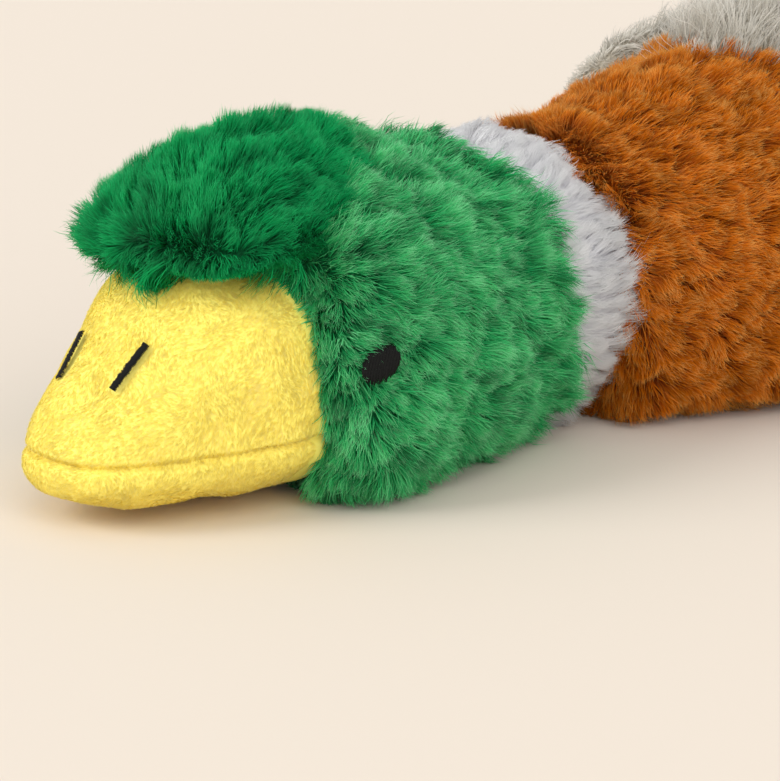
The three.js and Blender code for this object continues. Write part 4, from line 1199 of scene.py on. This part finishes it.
def wing_shell(side):
    """The leaf as rings round its length, over it and back under it, closed at its blunt front
    and its tip."""
    reached = WING_MARGIN + np.linspace(0, 1, 48)[:, None] * (WING_LENGTH - 2 * WING_MARGIN)
    along = torso.along_at((WING_SETBACK + reached) * MM)
    share = reached / WING_LENGTH
    drop = np.maximum(share - 0.4, 0) ** 1.5
    leaf = np.sqrt(np.maximum(1 - ((share - 0.3) / 0.74) ** 2, 0))
    breadth = np.maximum(WING_BREADTH * np.minimum(leaf, 0.72 + share), WING_TIP_BREADTH)
    edge = WING_TOP_ANGLE + drop * (WING_TIP_ANGLE - WING_TOP_ANGLE)
    a_radian = length_of(torso.point(along, edge + STEP) - torso.point(along, edge)) / STEP
    across = WING_MARGIN + np.linspace(0, 1, 22) * (breadth - 2 * WING_MARGIN)
    cross = across / breadth
    crown = np.sqrt(np.maximum(4 * cross * (1 - cross) * (1 - (2 * share - 1) ** 4), 0))
    high = WING_EDGE + (WING_THICKNESS - WING_EDGE) * crown - WING_INSET
    low = np.full_like(high, LINING_INSET)
    angle = edge + across * MM / a_radian
    under = torso_skin_point(along, angle, WING_GAP + low)
    over = torso_skin_point(along, angle, WING_GAP + np.maximum(high, low + WING_LEAST))
    return closed(np.concatenate([over, under[:, ::-1]], 1) * (side, 1, 1))


def wing_length(points):
    """Short along the blunt front, long further back."""
    return 3.8 + 9.2 * fade(points[:, 1] - NECK[1], WING_SETBACK + 8, 30)


def wing_wanted(points, normals):
    """Sparse on the lining's side."""
    return np.where(torso.depth(points) < 1.03, 0.25, 1.0)


def make_wings():
    for side, word in ((1, "left"), (-1, "right")):
        skin = wing_shell(side)
        body = shell_object(f"wing_{word}_skin", skin, GREY_BACK)
        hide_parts(*(f"wing_{word}_{part}" for part in ("panel", "lining", "wadding")))
        made = [body]
        flow = steady([0.05, 1.0, -0.25])
        made += fur(f"wing_{word}_undercoat", skin, GREY, 71 + side, flow, wing_wanted,
                    per_cm2=110, length=6, lean=(30, 74), **GREY_UNDERCOAT)
        made += fur(f"wing_{word}_pile", skin, GREY, 81 + side, flow, wing_wanted, per_cm2=55,
                    length=wing_length, lean=(20, 68), **GREY_LONG_PILE)
        for piece in made:
            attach(piece, f"wing_{word}")


# Tail

TAIL_PLACE = (Matrix.Translation((0, 116.171 * MM, 76.9084 * MM))
              @ Matrix.Rotation(math.radians(14), 4, "X"))
TAIL_OUT, TAIL_UP, TAIL_ROOT = (np.array(TAIL_PLACE)[:3, k] for k in (1, 2, 3))


def tail_flow(points, normals):
    return TAIL_OUT + np.outer(points[:, 0] / (60 * MM), [1.0, 0, 0])


def tail_upper(points, normals):
    return normals @ TAIL_UP > -0.15


def tail_under(points, normals):
    return ~tail_upper(points, normals)


def tail_under_length(points):
    return 2.5 + 6.5 * fade((points - TAIL_ROOT) @ TAIL_OUT, 6, 24)


def make_tail():
    skin = closed(form_grid(tail, 40, 56, 0.02, 0.99)).moved(-4.6 * MM).placed(TAIL_PLACE)
    body = shell_object("tail_skin", skin, GREY_BACK)
    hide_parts("tail_upper_panel", "tail_under_panel", "tail_wadding")
    grey = [body]
    grey += fur("tail_pile", skin, GREY, 91, tail_flow, tail_upper, per_cm2=130, length=9,
                lean=(25, 70), **GREY_UNDERCOAT)
    grey += fur("tail_long_pile", skin, GREY, 92, tail_flow, tail_upper, per_cm2=50, length=14,
                lean=(22, 66), **GREY_LONG_PILE)
    white = fur("tail_under_pile", skin, WHITE, 93, tail_flow, tail_under, per_cm2=260,
                length=tail_under_length, lean=(30, 78), width=0.28, tuft=(1.8, 5.0),
                gather=(0.5, 0.35))
    for piece in grey + white:
        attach(piece, "tail")


# Feet, in mm

FOOT_LENGTH, FOOT_HALF_WIDTH, FOOT_THICKNESS = 52, 23, 11
FOOT_SWEEP = math.radians(35)


def foot_shell():
    """A webbed foot about its outline: rings from the sole's middle up and over to the top's,
    with two dips between the toes."""
    half = np.array(FOOT_OUTLINE) * (FOOT_HALF_WIDTH, FOOT_LENGTH)
    other = (half[1:-1] * (-1, 1))[::-1]
    outline = spline(np.vstack([half, other, half[:1]]), np.linspace(0, 1, 97)[:-1])
    middle = np.array([0, FOOT_LENGTH / 2])
    layers = []
    for turn in np.linspace(-math.pi / 2 + 0.1, math.pi / 2 - 0.1, 15):
        ring = middle + (outline - middle) * math.cos(turn) ** 0.35
        dips = np.exp(-((np.abs(ring[:, 0]) - 9) / 2.2) ** 2) * (ring[:, 1] > 26)
        high = math.sin(turn) * FOOT_THICKNESS / 2 * (1 - 0.3 * (turn > 0) * dips)
        layers.append(np.column_stack([ring, high]))
    return Shell(np.array(layers) * MM, np.append(middle, -FOOT_THICKNESS / 2) * MM,
                 np.append(middle, FOOT_THICKNESS / 2) * MM)


def foot_flow(points, normals):
    return np.column_stack([np.sign(points[:, 0]), np.tile([0.4, -0.3], (len(points), 1))])


def foot_wanted(points, normals):
    return normals[:, 2] > -0.5


def make_feet():
    for side, word in ((1, "left"), (-1, "right")):
        place = Matrix.Translation(ANKLE * (side, 1, 1))
        turn = Matrix.Rotation(-side * (math.pi / 2 - FOOT_SWEEP), 4, "Z")
        skin = foot_shell().moved(-1.2 * MM).placed(place @ turn).resting(MINKY_REST)
        body = shell_object(f"foot_{word}_skin", skin, YELLOW_BACK)
        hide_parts(*(f"foot_{word}_{part}"
                            for part in ("top_panel", "sole_panel", "wadding")))
        made = [body]
        made += fur(f"foot_{word}_pile", skin, YELLOW, 101 + side, foot_flow, foot_wanted,
                    per_cm2=1000, length=1.9, lean=(48, 78), width=0.2, gather=(0.3, 0.25),
                    **MINKY_PILE)
        for piece in made:
            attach(piece, f"foot_{word}")


make_head()
make_forelock()
make_bill()
make_stitching()
make_collar()
make_breast()
make_back()
make_wings()
make_tail()
make_feet()

# Stage

FLOOR_HALF = 4.0
# Each lamp's name, the place it shines from, its strength and the angle of its disc
LAMPS = (("key", (-0.55, -1.0, 0.8), 1.5, 34), ("fill", (1.0, -0.4, 0.7), 1.35, 60))
# The photo's camera: focal length and width in its pixels, and the neck's place off the middle
FOCUS_PX, WIDTH_PX, SENSOR_WIDTH = 3109, 780, 36
NECK_RIGHT_PX, NECK_UP_PX = 489 - 390, 390.5 - 274
CAMERA_TURN, CAMERA_RISE, CAMERA_DISTANCE = math.radians(47), math.radians(15), 0.852


def make_stage():
    mesh = bpy.data.meshes.new("floor")
    square = ((-1, -1), (1, -1), (1, 1), (-1, 1))
    mesh.from_pydata([(x * FLOOR_HALF, y * FLOOR_HALF, 0) for x, y in square], [], [(0, 1, 2, 3)])
    material, tree, bsdf = shader("paper")
    noise = new_node(tree, "ShaderNodeTexNoise", {"Scale": 3.0}).outputs[0]
    paper = ramp(tree, noise, [(0.3, (224, 213, 200)), (0.7, (228, 217, 204))])
    feed(tree, bsdf, {"Base Color": paper, "Roughness": 0.7, "Specular IOR Level": 0.15})
    mesh.materials.append(material)
    floor = linked("floor", mesh)


def make_light():
    world = bpy.data.worlds.new("studio")
    bpy.context.scene.world = world
    world.use_nodes = True
    feed(world.node_tree, world.node_tree.nodes["Background"], {0: (1.0, 0.985, 0.965), 1: 0.74})
    for name, place, energy, angle in LAMPS:
        light = bpy.data.lights.new(name, "SUN")
        light.energy = energy
        light.angle = math.radians(angle)
        lamp = linked(name, light)
        lamp.location = place
        lamp.rotation_mode = "QUATERNION"
        lamp.rotation_quaternion = Vector(place).to_track_quat("Z", "Y")


def make_camera():
    camera = bpy.data.cameras.new("camera")
    camera.sensor_width = SENSOR_WIDTH
    camera.lens = FOCUS_PX / WIDTH_PX * SENSOR_WIDTH
    camera.clip_start = 0.05
    a, e = CAMERA_TURN, CAMERA_RISE
    back = Vector((math.sin(a) * math.cos(e), -math.cos(a) * math.cos(e), math.sin(e)))
    right = Vector((math.cos(a), math.sin(a), 0))
    up = back.cross(right)
    a_pixel = CAMERA_DISTANCE / FOCUS_PX
    obj = linked("camera", camera)
    obj.location = (Vector(NECK) + back * CAMERA_DISTANCE - right * (NECK_RIGHT_PX * a_pixel)
                    - up * (NECK_UP_PX * a_pixel))
    obj.rotation_mode = "QUATERNION"
    obj.rotation_quaternion = (-back).to_track_quat("-Z", "Y")
    bpy.context.scene.camera = obj


make_stage()
make_light()
bpy.context.scene.cycles.max_bounces = 20
bpy.context.scene.cycles.diffuse_bounces = 20
bpy.context.scene.cycles.transmission_bounces = 20
make_camera()
bpy.context.scene.view_settings.view_transform = "Standard"
